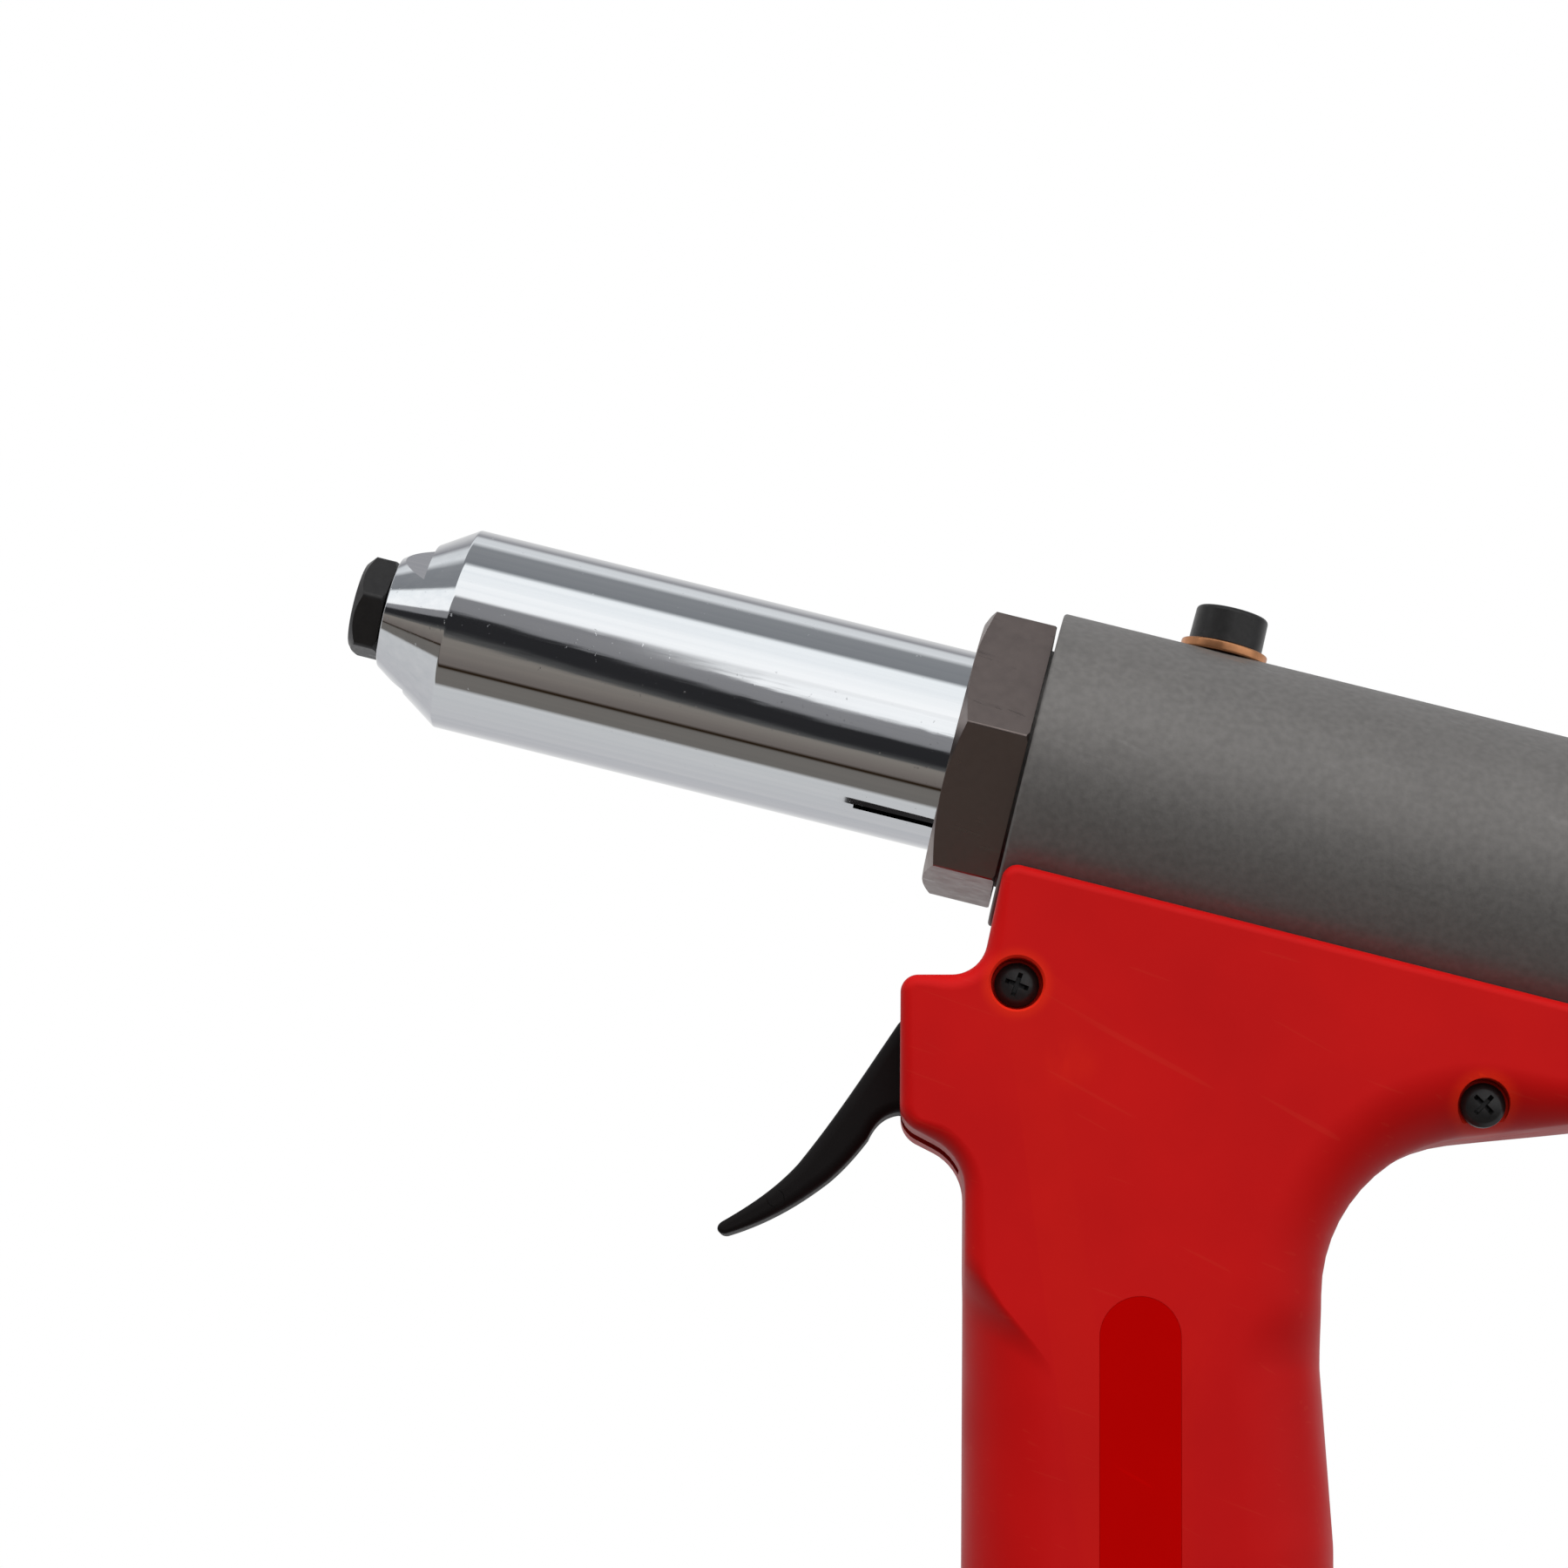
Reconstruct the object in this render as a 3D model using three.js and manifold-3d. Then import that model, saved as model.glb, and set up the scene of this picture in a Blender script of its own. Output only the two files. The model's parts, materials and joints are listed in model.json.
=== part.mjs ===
import * as THREE from 'three';
import { mergeVertices } from 'three/addons/utils/BufferGeometryUtils.js';
import Module from 'manifold-3d';

const wasm = await Module();
wasm.setup();

// A pistol-shaped pneumatic rivet gun (hydro-pneumatic blind riveter), in millimetres.
// +Z is up and the nose points towards -X. The origin is the centre of the base's underside, on the
// axis of the handle. The head is tilted nose up: its pieces are drawn in the head's own frame, where
// +X runs along the head towards the rear, and 0 is the point where the head and handle axes cross.

// ---------------------------------------------------------------- driving dimensions

const GAP = 0.3; // left between pieces that rest on each other
const SLIDE_GAP = 0.2; // radial clearance of a sliding fit

// Head
const TILT = THREE.MathUtils.degToRad(13.75);
const HEAD_HEIGHT = 245.5; // where the head axis crosses the handle axis
const NOSE_TIP = -103.6;
const NOSE_HEX_AF = 12;
const MANDREL_BORE = 1.7;
const HOUSING_FRONT = -99.3;
const HOUSING_SHOULDER = -90.4;
const HOUSING_FLANGE = { front: -22.6, rear: -21.5, r: 14.8 }; // held between the lock nut and the body
const HOUSING_R = 13.1;
const HOUSING_FRONT_R = 7.2;
const HOUSING_BORE_R = 10.4;
const WRENCH_FLAT_AF = 15.3;
const WRENCH_FLAT_LENGTH = 4.3;
const WRENCH_FLAT_TURN = THREE.MathUtils.degToRad(27);
const CLAMP_SLIT = { start: -34.9, end: -18.2, width: 0.8, turn: THREE.MathUtils.degToRad(55.9) };
const NUT_FRONT = -24.2;
const NUT_LIP_END = -22.9;
const NUT_AF = 34;
const NUT_R = 19.2;
const NUT_TURN = THREE.MathUtils.degToRad(4.5);
const BODY_FRONT = -14.8;
const BODY_REAR = 97.6;
const BODY_R = 20.65;
const BODY_BORE_R = 16;
const BODY_BORE_END = 80;
const REAR_THREAD_R = 17;
const SPIGOT_FRONT = -21.2;
const SPIGOT_R = 15.6;
const SOCKET_R = 12.9;
const OIL_SCREW_X = 5.85;
const SPOT_FACE_Z = 19.6;

// Pulling gear, at rest
const ROD_R = 8;
const PISTON_FRONT = 7.5;
const PISTON_LENGTH = 14;
const TUBE_R = 5.5;
const TUBE_BORE_R = 3.4;
const COUPLER_FRONT = -60.2;
const COUPLER_REAR = -20.6;
const JAW_CASE_FRONT = -88.5;
const JAW_CASE_REAR = -64.2;
const JAW_ANGLE = THREE.MathUtils.degToRad(12);
const JAW_COUNT = 3;
const JAW = { front: -86.2, rear: -76.2, rearR: 7.3, boreR: 2.6, spread: THREE.MathUtils.degToRad(49) };
const JAW_CLEARANCE = 0.35; // between the jaws and the cone they slide in

// Rear end
const CAP_FRONT = BODY_BORE_END + GAP;
const CAP_FLANGE_END = 103;
const CAP_SPIGOT_R = 13.2;
const CAP_SPIGOT_END = 117;
const CAP_GROOVE = { front: 108.5, rear: 111.5, depth: 1.6 };
const PIN_HOLE = { x: 100.5, r: 1.5, length: 6, count: 6 }; // round the rear cap, for a pin wrench
const COLLECTOR = { front: 103.4, rear: 166, outerR: 19.5, mouthR: 14.6, boreR: 17.4, floor: 2.5 };

// Handle: the grip covers' side outline, each corner as [x, z, corner radius]
const GRIP_FRONT = -22.3;
const GRIP_REAR = 24;
const GRIP_OUTLINE = [
  [-17.3, 234.6, 2.0],
  [-20.3, 220.5, 4.5],
  [-30.3, 220.3, 2.2],
  [-30.3, 202.0, 3.6],
  [-22.2, 197.8, 7.0],
  [GRIP_FRONT, 96.0, 2.0],
  [GRIP_REAR, 96.0, 2.0],
  [GRIP_REAR, 150.0, 15.0],
  [22.4, 172.0, 15.0],
  [22.5, 198.8, 20.0],
  [58.0, 203.0, 20.0],
  [83.2, 203.5, 3.0],
  [81.2, 210.1, 2.0],
];
const GRIP_HALF_WIDTH = 18;
const GRIP_WALL = 2.4;
const PARTING = 0.1; // half the joint between the covers
const PILLAR_INSET = 0.4; // keeps the inner pillars under the covers' surface
const GRIP_EDGE = 1.8;
const GRIP_CORNER_R = 12;
const GRIP_CORNER_TOP = { front: 200, rear: 183 };
const GRIP_BOTTOM = 95.8;
const POMMEL = { front: -26, rear: 31, halfWidth: 19.5, top: 119, cornerR: 13, edge: 3 };
const CREASE = [[GRIP_FRONT, 182], [-10, 172.5]]; // where the grip's rounded front corner ends
// Each cover screw as [x, z, depth of its head's seat from the mid-plane, radius of its pillar]
const GRIP_SCREWS = [
  [-15.8, 219.2, 14, 4.5], [42.1, 204.6, 14, 4.5], [-21.9, 106.5, 15, 3.2], [17.6, 128, 11, 4.5],
];
const SCREW = { headR: 2.8, headLength: 2.3, recessR: 3.25, shankR: 1.5, length: 23 };
const CROSS_RECESS = { arm: 1.6, halfWidth: 0.35, depth: 1.1 };
const INLAY = { x: -0.5, halfWidth: 5.05, top: 180.6, bottom: 126, depth: 1.5, thickness: 1.1, gap: 0.2 };

// Trigger and pilot valve
const PIVOT = { x: -27, z: 214.4, pinR: 1.5, hubR: 3.2 };
const PIN_HALF_LENGTH = 15;
const PIN_SEAT_R = 3.1;
const PIN_PLAY = 0.15; // radial room of a pin or screw in its hole
const TRIGGER_WIDTH = 10;
const TRIGGER_EDGE = 0.6;
const TRIGGER_SLOT = { front: -34, rear: -19, halfWidth: 5.4, bottom: 196.5, top: 217.9 };
const PILOT_Z = 205.5;
const PILOT_TUBE_X = -16.2;

// Oil tube and base
const LEG_R = 12;
const LEG_THREAD_R = 10.5;
const LEG_BORE_R = 8;
const LEG_SHOULDER = 210.6;
const BOSS_R = 13;
const BOSS_BOTTOM = 211;
const CYLINDER_R = 40;
const CYLINDER_BORE_R = 37;
const CYLINDER_BOTTOM = 10;
const CYLINDER_CEILING = 87.3;
const CYLINDER_TOP = 95.3;
const AIR_PISTON = { bottom: 22.8, top: 32.8 };
const BOOT = { r: 43.5, innerR: 40.3, floor: 3.2, top: 28 };
const INLET_Z = 107.5;
const INLET_ROOM_R = 7;
const VALVE_X = 19.5;
const VALVE_BORE_R = 4.2;

// Facets round a full turn, by size
const LARGE = 30;
const MEDIUM = 18;
const SMALL = 12;

// ---------------------------------------------------------------- solids from three.js geometry

function solidOf(geometry) {
  const flat = geometry.index ? geometry.toNonIndexed() : geometry;
  const bare = new THREE.BufferGeometry().setAttribute('position', flat.getAttribute('position'));
  const merged = mergeVertices(bare, 1e-4);
  return new wasm.Manifold(new wasm.Mesh({
    numProp: 3,
    vertProperties: merged.attributes.position.array,
    triVerts: new Uint32Array(merged.index.array),
  }));
}

function geometryOf(solid) {
  const mesh = solid.getMesh();
  const geometry = new THREE.BufferGeometry();
  geometry.setAttribute('position', new THREE.BufferAttribute(mesh.vertProperties, mesh.numProp));
  geometry.setIndex(new THREE.BufferAttribute(mesh.triVerts, 1));
  geometry.computeVertexNormals();
  return geometry;
}

const cut = (solid, ...tools) => tools.reduce((rest, tool) => rest.subtract(tool), solid);
const join = (...solids) => solids.reduce((all, solid) => all.add(solid));

// A turned profile of [along, radius] pairs. It closes on itself unless it starts and ends on the axis.
function lathe(profile, facets) {
  let points = profile.map(([along, radius]) => new THREE.Vector2(radius, along));
  if (THREE.ShapeUtils.area(points) < 0) {
    points.reverse();
  }
  if (points.every((point) => point.x > 0)) {
    points = [...points, points[0].clone()];
  } else {
    while (points[0].x > 0 || points[points.length - 1].x > 0) {
      points.push(points.shift());
    }
  }
  return new THREE.LatheGeometry(points, facets);
}

const turnedX = (profile, facets = MEDIUM) => solidOf(lathe(profile, facets).rotateZ(-Math.PI / 2));
const turnedZ = (profile, facets = MEDIUM, x = 0, y = 0) => (
  solidOf(lathe(profile, facets).rotateX(Math.PI / 2).translate(x, y, 0)));
const turnedY = (profile, facets, x, z) => solidOf(lathe(profile, facets).translate(x, 0, z));

const rod = (from, to, radius) => [[from, 0], [to, 0], [to, radius], [from, radius]];
const ring = (from, to, inner, outer) => [[from, inner], [to, inner], [to, outer], [from, outer]];

function box(x0, x1, y0, y1, z0, z1) {
  const block = new THREE.BoxGeometry(x1 - x0, y1 - y0, z1 - z0);
  return block.translate((x0 + x1) / 2, (y0 + y1) / 2, (z0 + z1) / 2);
}

// An outline of [across, up] pairs extruded to a length, its end edges bevelled by `edge`.
function extruded(points, length, edge, bevelSegments) {
  const shape = new THREE.Shape(points.map(([across, up]) => new THREE.Vector2(across, up)));
  return new THREE.ExtrudeGeometry(shape, {
    depth: length - 2 * edge,
    bevelEnabled: edge > 0,
    bevelSize: edge,
    bevelThickness: edge,
    bevelOffset: -edge,
    bevelSegments,
  });
}

// A side outline in X and Z, extruded across Y.
const prismY = (points, y0, y1, edge = 0) => (
  solidOf(extruded(points, y1 - y0, edge, 1).rotateX(Math.PI / 2).translate(0, y1 - edge, 0)));

// A plan outline in X and Y, extruded up Z.
const prismZ = (points, z0, z1, edge = 0) => (
  solidOf(extruded(points, z1 - z0, edge, 2).translate(0, 0, z0 + edge)));

function hexBar(from, to, acrossFlats) {
  const radius = acrossFlats / Math.sqrt(3);
  return new THREE.CylinderGeometry(radius, radius, to - from, 6);
}

// A regular hexagonal bar along X, a corner pointing towards -Y turned up by `turn`.
function hexX(from, to, acrossFlats, turn = 0) {
  const bar = hexBar(from, to, acrossFlats).rotateZ(-Math.PI / 2).rotateX(Math.PI / 2 - turn);
  return solidOf(bar.translate((from + to) / 2, 0, 0));
}

function hexZ(from, to, acrossFlats, x = 0) {
  return solidOf(hexBar(from, to, acrossFlats).rotateX(Math.PI / 2).translate(x, 0, (from + to) / 2));
}

// Corners [x, z, radius] turned into an outline whose corners are arcs.
function rounded(corners) {
  const outline = [];
  corners.forEach(([x, z, radius], i) => {
    const corner = new THREE.Vector2(x, z);
    const before = corners[(i + corners.length - 1) % corners.length];
    const after = corners[(i + 1) % corners.length];
    const back = new THREE.Vector2(before[0], before[1]).sub(corner).normalize();
    const ahead = new THREE.Vector2(after[0], after[1]).sub(corner).normalize();
    const half = Math.acos(back.dot(ahead)) / 2;
    const middle = back.clone().add(ahead).normalize().multiplyScalar(radius / Math.sin(half)).add(corner);
    const start = corner.clone().addScaledVector(back, radius / Math.tan(half)).sub(middle);
    const sweep = (Math.PI - 2 * half) * Math.sign(back.y * ahead.x - back.x * ahead.y);
    const steps = Math.max(2, Math.ceil(Math.abs(sweep) / 0.4));
    for (let step = 0; step <= steps; step += 1) {
      const spoke = start.clone().rotateAround(new THREE.Vector2(), (sweep * step) / steps);
      outline.push([middle.x + spoke.x, middle.y + spoke.y]);
    }
  });
  return outline;
}

// The same corners moved inwards by `wall`, each arc staying concentric.
function inset(corners, wall) {
  const ways = corners.map(([x, z], i) => {
    const [nextX, nextZ] = corners[(i + 1) % corners.length];
    return new THREE.Vector2(nextX - x, nextZ - z).normalize();
  });
  const inwards = (way) => new THREE.Vector2(-way.y, way.x);
  return corners.map(([x, z, radius], i) => {
    const before = ways[(i + ways.length - 1) % ways.length];
    const after = ways[i];
    const turn = before.cross(after);
    const mitre = inwards(before).add(inwards(after)).normalize();
    const reach = wall / mitre.dot(inwards(after));
    const inner = Math.max(turn > 0 ? radius - wall : radius + wall, 0.3);
    return [x + mitre.x * reach, z + mitre.y * reach, inner];
  });
}

// A coil spring along X. Its end turns stay within `from` and `to`.
function coilX(from, to, coilR, wireR, turns) {
  class Helix extends THREE.Curve {
    getPoint(t, target = new THREE.Vector3()) {
      const angle = 2 * Math.PI * turns * t;
      const along = THREE.MathUtils.lerp(from + wireR, to - wireR, t);
      return target.set(along, coilR * Math.cos(angle), coilR * Math.sin(angle));
    }
  }
  const section = new THREE.Shape(new THREE.EllipseCurve(0, 0, wireR, wireR).getPoints(5).slice(0, 5));
  const steps = Math.round(turns * 8);
  return new THREE.ExtrudeGeometry(section, { steps, bevelEnabled: false, extrudePath: new Helix() });
}

// ---------------------------------------------------------------- scene graph

const gun = new THREE.Group();
const head = new THREE.Group();
head.position.z = HEAD_HEIGHT;
head.rotation.y = TILT;
head.updateMatrix();
gun.add(head);

const FINISHES = {
  red_plastic: [0xba1214, 0.55, 0],
  deep_red_plastic: [0xb40000, 0.6, 0],
  black_plastic: [0x191616, 0.5, 0],
  chrome: [0xd6dadd, 0.06, 1],
  black_steel: [0x2a2828, 0.45, 0.8],
  nut_steel: [0x8e807d, 0.38, 0.9],
  grey_aluminium: [0x66656a, 0.5, 0.7],
  base_aluminium: [0x55565a, 0.5, 0.7],
  bright_steel: [0xb4b6b8, 0.3, 1],
  copper: [0xaf643c, 0.35, 1],
  brass: [0xc2a052, 0.35, 1],
  rubber: [0x1c1c1d, 0.85, 0],
  porous_bronze: [0xa1814a, 0.8, 0.6],
};

// Adds a named piece to a group. `shape` is a solid, or a geometry that needs no cutting.
function piece(group, name, finish, shape) {
  const [color, roughness, metalness] = FINISHES[finish];
  const geometry = shape.isBufferGeometry ? shape : geometryOf(shape);
  const mesh = new THREE.Mesh(geometry, new THREE.MeshStandardMaterial({ color, roughness, metalness }));
  mesh.name = name;
  group.add(mesh);
}

// A solid drawn in the head's frame, moved to the gun's frame.
const fromHead = (solid) => solidOf(geometryOf(solid).applyMatrix4(head.matrix));

// ---------------------------------------------------------------- nose

function nosepiece() {
  const hex = hexX(NOSE_TIP, HOUSING_FRONT - GAP, NOSE_HEX_AF, NUT_TURN);
  const crown = turnedX([
    [NOSE_TIP, 0], [NOSE_TIP, 5.3], [NOSE_TIP + 0.5, 6.3], [NOSE_TIP + 1.2, 6.95],
    [HOUSING_FRONT - 0.8, 6.95], [HOUSING_FRONT - GAP, 6.3], [HOUSING_FRONT - GAP, 0],
  ]);
  const shank = turnedX([
    [HOUSING_FRONT - 1, 0], [HOUSING_FRONT - 1, 4], [-92.5, 4], [-92, 3.5], [-89.4, 2.8], [-89.4, 0],
  ], SMALL);
  return cut(join(hex.intersect(crown), shank), turnedX(rod(NOSE_TIP - 1, -88, MANDREL_BORE), SMALL));
}

function noseHousing() {
  const tube = turnedX([
    [HOUSING_FRONT, 4.3], [HOUSING_FRONT, HOUSING_FRONT_R], [HOUSING_SHOULDER, HOUSING_R],
    [HOUSING_FLANGE.front, HOUSING_R], [HOUSING_FLANGE.front, HOUSING_FLANGE.r],
    [HOUSING_FLANGE.rear, HOUSING_FLANGE.r], [HOUSING_FLANGE.rear, SOCKET_R - GAP], [-4.2, SOCKET_R - GAP],
    [-4.2, HOUSING_BORE_R], [-90, HOUSING_BORE_R], [-93.5, 4.3],
  ], LARGE);
  const reach = HOUSING_R + 5;
  const flats = [-1, 1].map((side) => {
    const block = box(HOUSING_FRONT - 1, HOUSING_FRONT + WRENCH_FLAT_LENGTH, -reach, reach,
      side > 0 ? WRENCH_FLAT_AF / 2 : -reach, side > 0 ? reach : -WRENCH_FLAT_AF / 2);
    return solidOf(block.rotateX(WRENCH_FLAT_TURN));
  });
  const halfSlit = CLAMP_SLIT.width / 2;
  const slit = box(CLAMP_SLIT.start, CLAMP_SLIT.end, -reach, 1 - HOUSING_BORE_R, -halfSlit, halfSlit);
  return cut(tube, ...flats, solidOf(slit.rotateX(CLAMP_SLIT.turn)));
}

function lockNut() {
  const rear = BODY_FRONT - GAP;
  const turned = turnedX([
    [NUT_FRONT, HOUSING_R + GAP], [NUT_FRONT, 16.9], [NUT_FRONT + 1.3, NUT_R], [rear - 0.5, NUT_R],
    [rear, NUT_R - 0.5], [rear, SPIGOT_R + GAP],
    [NUT_LIP_END, SPIGOT_R + GAP], [NUT_LIP_END, HOUSING_R + GAP],
  ], LARGE);
  return turned.intersect(hexX(NUT_FRONT - 1, rear + 1, NUT_AF, NUT_TURN));
}

// ---------------------------------------------------------------- hydraulic body and what seals it

function hydraulicBody() {
  const barrel = fromHead(turnedX([
    [SPIGOT_FRONT, SOCKET_R], [SPIGOT_FRONT, SPIGOT_R], [BODY_FRONT, SPIGOT_R], [BODY_FRONT, BODY_R - 0.4],
    [BODY_FRONT + 0.4, BODY_R], [BODY_REAR - 0.8, BODY_R], [BODY_REAR, BODY_R - 0.8],
    [BODY_REAR, REAR_THREAD_R], [BODY_BORE_END, REAR_THREAD_R], [BODY_BORE_END, BODY_BORE_R],
    [-3.8, BODY_BORE_R], [-3.8, SOCKET_R],
  ], LARGE));
  const boss = turnedZ(rod(BOSS_BOTTOM, 226, BOSS_R));
  const socket = turnedZ(rod(BOSS_BOTTOM - 1, 221.5, LEG_THREAD_R + SLIDE_GAP));
  const bore = fromHead(turnedX(rod(-3.8, BODY_BORE_END, BODY_BORE_R), LARGE));
  const port = turnedZ(rod(221, 232, 2.3), SMALL, 0.6);
  const screwHole = fromHead(turnedZ(rod(14, 24, 2.6), SMALL, OIL_SCREW_X));
  const spotFace = fromHead(turnedZ(rod(SPOT_FACE_Z, 24, 5.6), MEDIUM, OIL_SCREW_X));
  return cut(join(barrel, boss), socket, bore, port, screwHole, spotFace);
}

function oilScrew() {
  const foot = SPOT_FACE_Z + 1.6;
  const screw = turnedZ([
    [15.8, 0], [15.8, 2.2], [16.2, 2.4], [foot, 2.4], [foot, 4.1], [foot + 0.2, 4.25],
    [foot + 3.9, 4.25], [foot + 4.4, 3.8], [foot + 4.4, 0],
  ], MEDIUM, OIL_SCREW_X);
  return cut(screw, hexZ(foot + 1.6, foot + 6, 4, OIL_SCREW_X));
}

const copperWasher = () => (
  turnedZ(ring(SPOT_FACE_Z + GAP, SPOT_FACE_Z + 1.3, 2.7, 5.1), MEDIUM, OIL_SCREW_X));

const frontGland = () => turnedX([
  [-3.4, ROD_R + SLIDE_GAP], [-3.4, BODY_BORE_R - GAP], [1.4, BODY_BORE_R - GAP],
  [1.4, 11], [-0.8, 11], [-0.8, ROD_R + SLIDE_GAP],
]);

const rodSeal = () => turnedX(ring(-0.5, 1.6, ROD_R + SLIDE_GAP, 10.7));

function rearCap() {
  const grooveR = CAP_SPIGOT_R - CAP_GROOVE.depth;
  const turned = turnedX([
    [CAP_FRONT, TUBE_R + SLIDE_GAP], [CAP_FRONT, REAR_THREAD_R - GAP], [BODY_REAR + GAP, REAR_THREAD_R - GAP],
    [BODY_REAR + GAP, BODY_R - 1], [BODY_REAR + 1, BODY_R - 0.3], [CAP_FLANGE_END - 1, BODY_R - 0.3],
    [CAP_FLANGE_END, BODY_R - 1.3], [CAP_FLANGE_END, CAP_SPIGOT_R],
    [CAP_GROOVE.front, CAP_SPIGOT_R], [CAP_GROOVE.front, grooveR], [CAP_GROOVE.rear, grooveR],
    [CAP_GROOVE.rear, CAP_SPIGOT_R], [CAP_SPIGOT_END - 1, CAP_SPIGOT_R],
    [CAP_SPIGOT_END, CAP_SPIGOT_R - 1], [CAP_SPIGOT_END, TUBE_R + SLIDE_GAP],
  ], LARGE);
  const pinHoles = Array.from({ length: PIN_HOLE.count }, (_, i) => solidOf(
    new THREE.CylinderGeometry(PIN_HOLE.r, PIN_HOLE.r, PIN_HOLE.length, SMALL).translate(0, BODY_R, 0)
      .rotateX((i * 2 * Math.PI) / PIN_HOLE.count).translate(PIN_HOLE.x, 0, 0)));
  return cut(turned, ...pinHoles);
}

const oRingX = (x, coreR, wireR) => (
  new THREE.TorusGeometry(coreR, wireR, 6, MEDIUM).rotateY(Math.PI / 2).translate(x, 0, 0));

const oRingZ = (z, coreR, wireR) => new THREE.TorusGeometry(coreR, wireR, 6, MEDIUM).translate(0, 0, z);

function mandrelCollector() {
  const { front, rear, outerR, mouthR, boreR, floor } = COLLECTOR;
  return turnedX([
    [front, mouthR], [front, outerR - 1.2], [front + 1, outerR - 0.4], [front + 12, outerR - 0.4],
    [front + 12.6, outerR - 1], [front + 14, outerR - 1], [front + 14.6, outerR],
    [rear - 7, outerR], [rear - 3, outerR - 1.4], [rear - 0.8, outerR - 4.2], [rear, outerR - 7.5], [rear, 0],
    [rear - floor, 0], [rear - floor, boreR - 6], [rear - floor - 4, boreR - 1], [rear - floor - 7, boreR],
    [front + 16, boreR], [front + 14.5, mouthR],
  ], LARGE);
}

// ---------------------------------------------------------------- pulling gear

function hydraulicPiston() {
  const rear = PISTON_FRONT + PISTON_LENGTH;
  const groove = BODY_BORE_R - 2.6;
  return turnedX([
    [-34, TUBE_BORE_R], [-34, ROD_R - 0.8], [-33.2, ROD_R], [PISTON_FRONT, ROD_R],
    [PISTON_FRONT, BODY_BORE_R - 0.8], [PISTON_FRONT + 0.6, BODY_BORE_R - SLIDE_GAP],
    [12.8, BODY_BORE_R - SLIDE_GAP], [12.8, groove], [16.2, groove], [16.2, BODY_BORE_R - SLIDE_GAP],
    [rear, BODY_BORE_R - SLIDE_GAP], [rear, TUBE_R + 0.2], [rear - 6, TUBE_R + 0.2], [rear - 6, TUBE_BORE_R],
  ]);
}

const pistonSeal = () => turnedX(ring(13, 16, BODY_BORE_R - 2.4, BODY_BORE_R - 0.15));

const mandrelTube = () => turnedX(ring(PISTON_FRONT + PISTON_LENGTH - 5.7, 112, TUBE_BORE_R, TUBE_R), SMALL);

function pullingCoupler() {
  const outer = HOUSING_BORE_R - 0.5;
  return turnedX([
    [-70, 6], [-70, 7.9], [COUPLER_FRONT, 7.9], [COUPLER_FRONT, outer - 0.6], [COUPLER_FRONT + 0.6, outer],
    [COUPLER_REAR - 0.6, outer], [COUPLER_REAR, outer - 0.6], [COUPLER_REAR, ROD_R + SLIDE_GAP],
    [-34.3, ROD_R + SLIDE_GAP], [-34.3, TUBE_BORE_R], [-52, TUBE_BORE_R], [-52, 6],
  ]);
}

function couplerNut() {
  const outer = HOUSING_BORE_R - 0.5;
  const nut = turnedX(ring(-63.9, COUPLER_FRONT - GAP, 8.1, outer));
  const reach = outer + 2;
  return cut(nut, ...[-1, 1].map((side) => solidOf(
    box(-65, -60, -reach, reach, side > 0 ? outer - 0.7 : -reach, side > 0 ? reach : 0.7 - outer))));
}

const coneR = (x, clearance) => JAW.rearR + clearance + (x - JAW.rear) * Math.tan(JAW_ANGLE);

function jawCase() {
  const outer = HOUSING_BORE_R - 0.6;
  const coneEnd = JAW.rear + 1;
  return turnedX([
    [JAW_CASE_FRONT, coneR(JAW_CASE_FRONT, JAW_CLEARANCE)], [JAW_CASE_FRONT, outer - 1.6], [-86.6, outer],
    [JAW_CASE_REAR, outer], [JAW_CASE_REAR, 8.1], [coneEnd, 8.1], [coneEnd, coneR(coneEnd, JAW_CLEARANCE)],
  ]);
}

// One of the gripping jaws: a slice of a hollow cone, centred on the direction `turn` about the axis.
function jaw(turn) {
  const cone = turnedX([
    [JAW.front, JAW.boreR], [JAW.front, coneR(JAW.front, 0)], [JAW.rear, JAW.rearR], [JAW.rear, JAW.boreR],
  ]);
  const far = 12;
  const edge = [Math.cos(JAW.spread) * far, Math.sin(JAW.spread) * far];
  const wedge = new THREE.Shape([
    new THREE.Vector2(0, 0), new THREE.Vector2(edge[0], -edge[1]), new THREE.Vector2(far * 1.5, 0),
    new THREE.Vector2(edge[0], edge[1]),
  ]);
  const slice = new THREE.ExtrudeGeometry(wedge, { depth: 14, bevelEnabled: false });
  slice.rotateY(-Math.PI / 2).rotateX(turn).translate(-74, 0, 0);
  return cone.intersect(solidOf(slice));
}

const jawPusher = () => turnedX([
  [-75.9, 2.7], [-75.9, 5.6], [-74.6, 6.9], [-71.6, 6.9], [-71.6, 2.7],
], SMALL);

// ---------------------------------------------------------------- grip covers

// A pillar of everything outside a rounded vertical edge: x0 and y0 are the arc's centre.
function cornerPillar(x0, y0, radius, top, towardsX, towardsY) {
  const far = 20;
  const arc = [0, 1, 2, 3, 4].map((i) => (i * Math.PI) / 8);
  const corner = arc.map((angle) => [
    x0 + towardsX * radius * Math.cos(angle),
    y0 + towardsY * radius * Math.sin(angle),
  ]);
  const [farX, farY] = [x0 + towardsX * far, y0 + towardsY * far];
  corner.push([x0, farY], [farX, farY], [farX, y0]);
  return prismZ(corner, GRIP_BOTTOM - 2, top);
}

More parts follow.
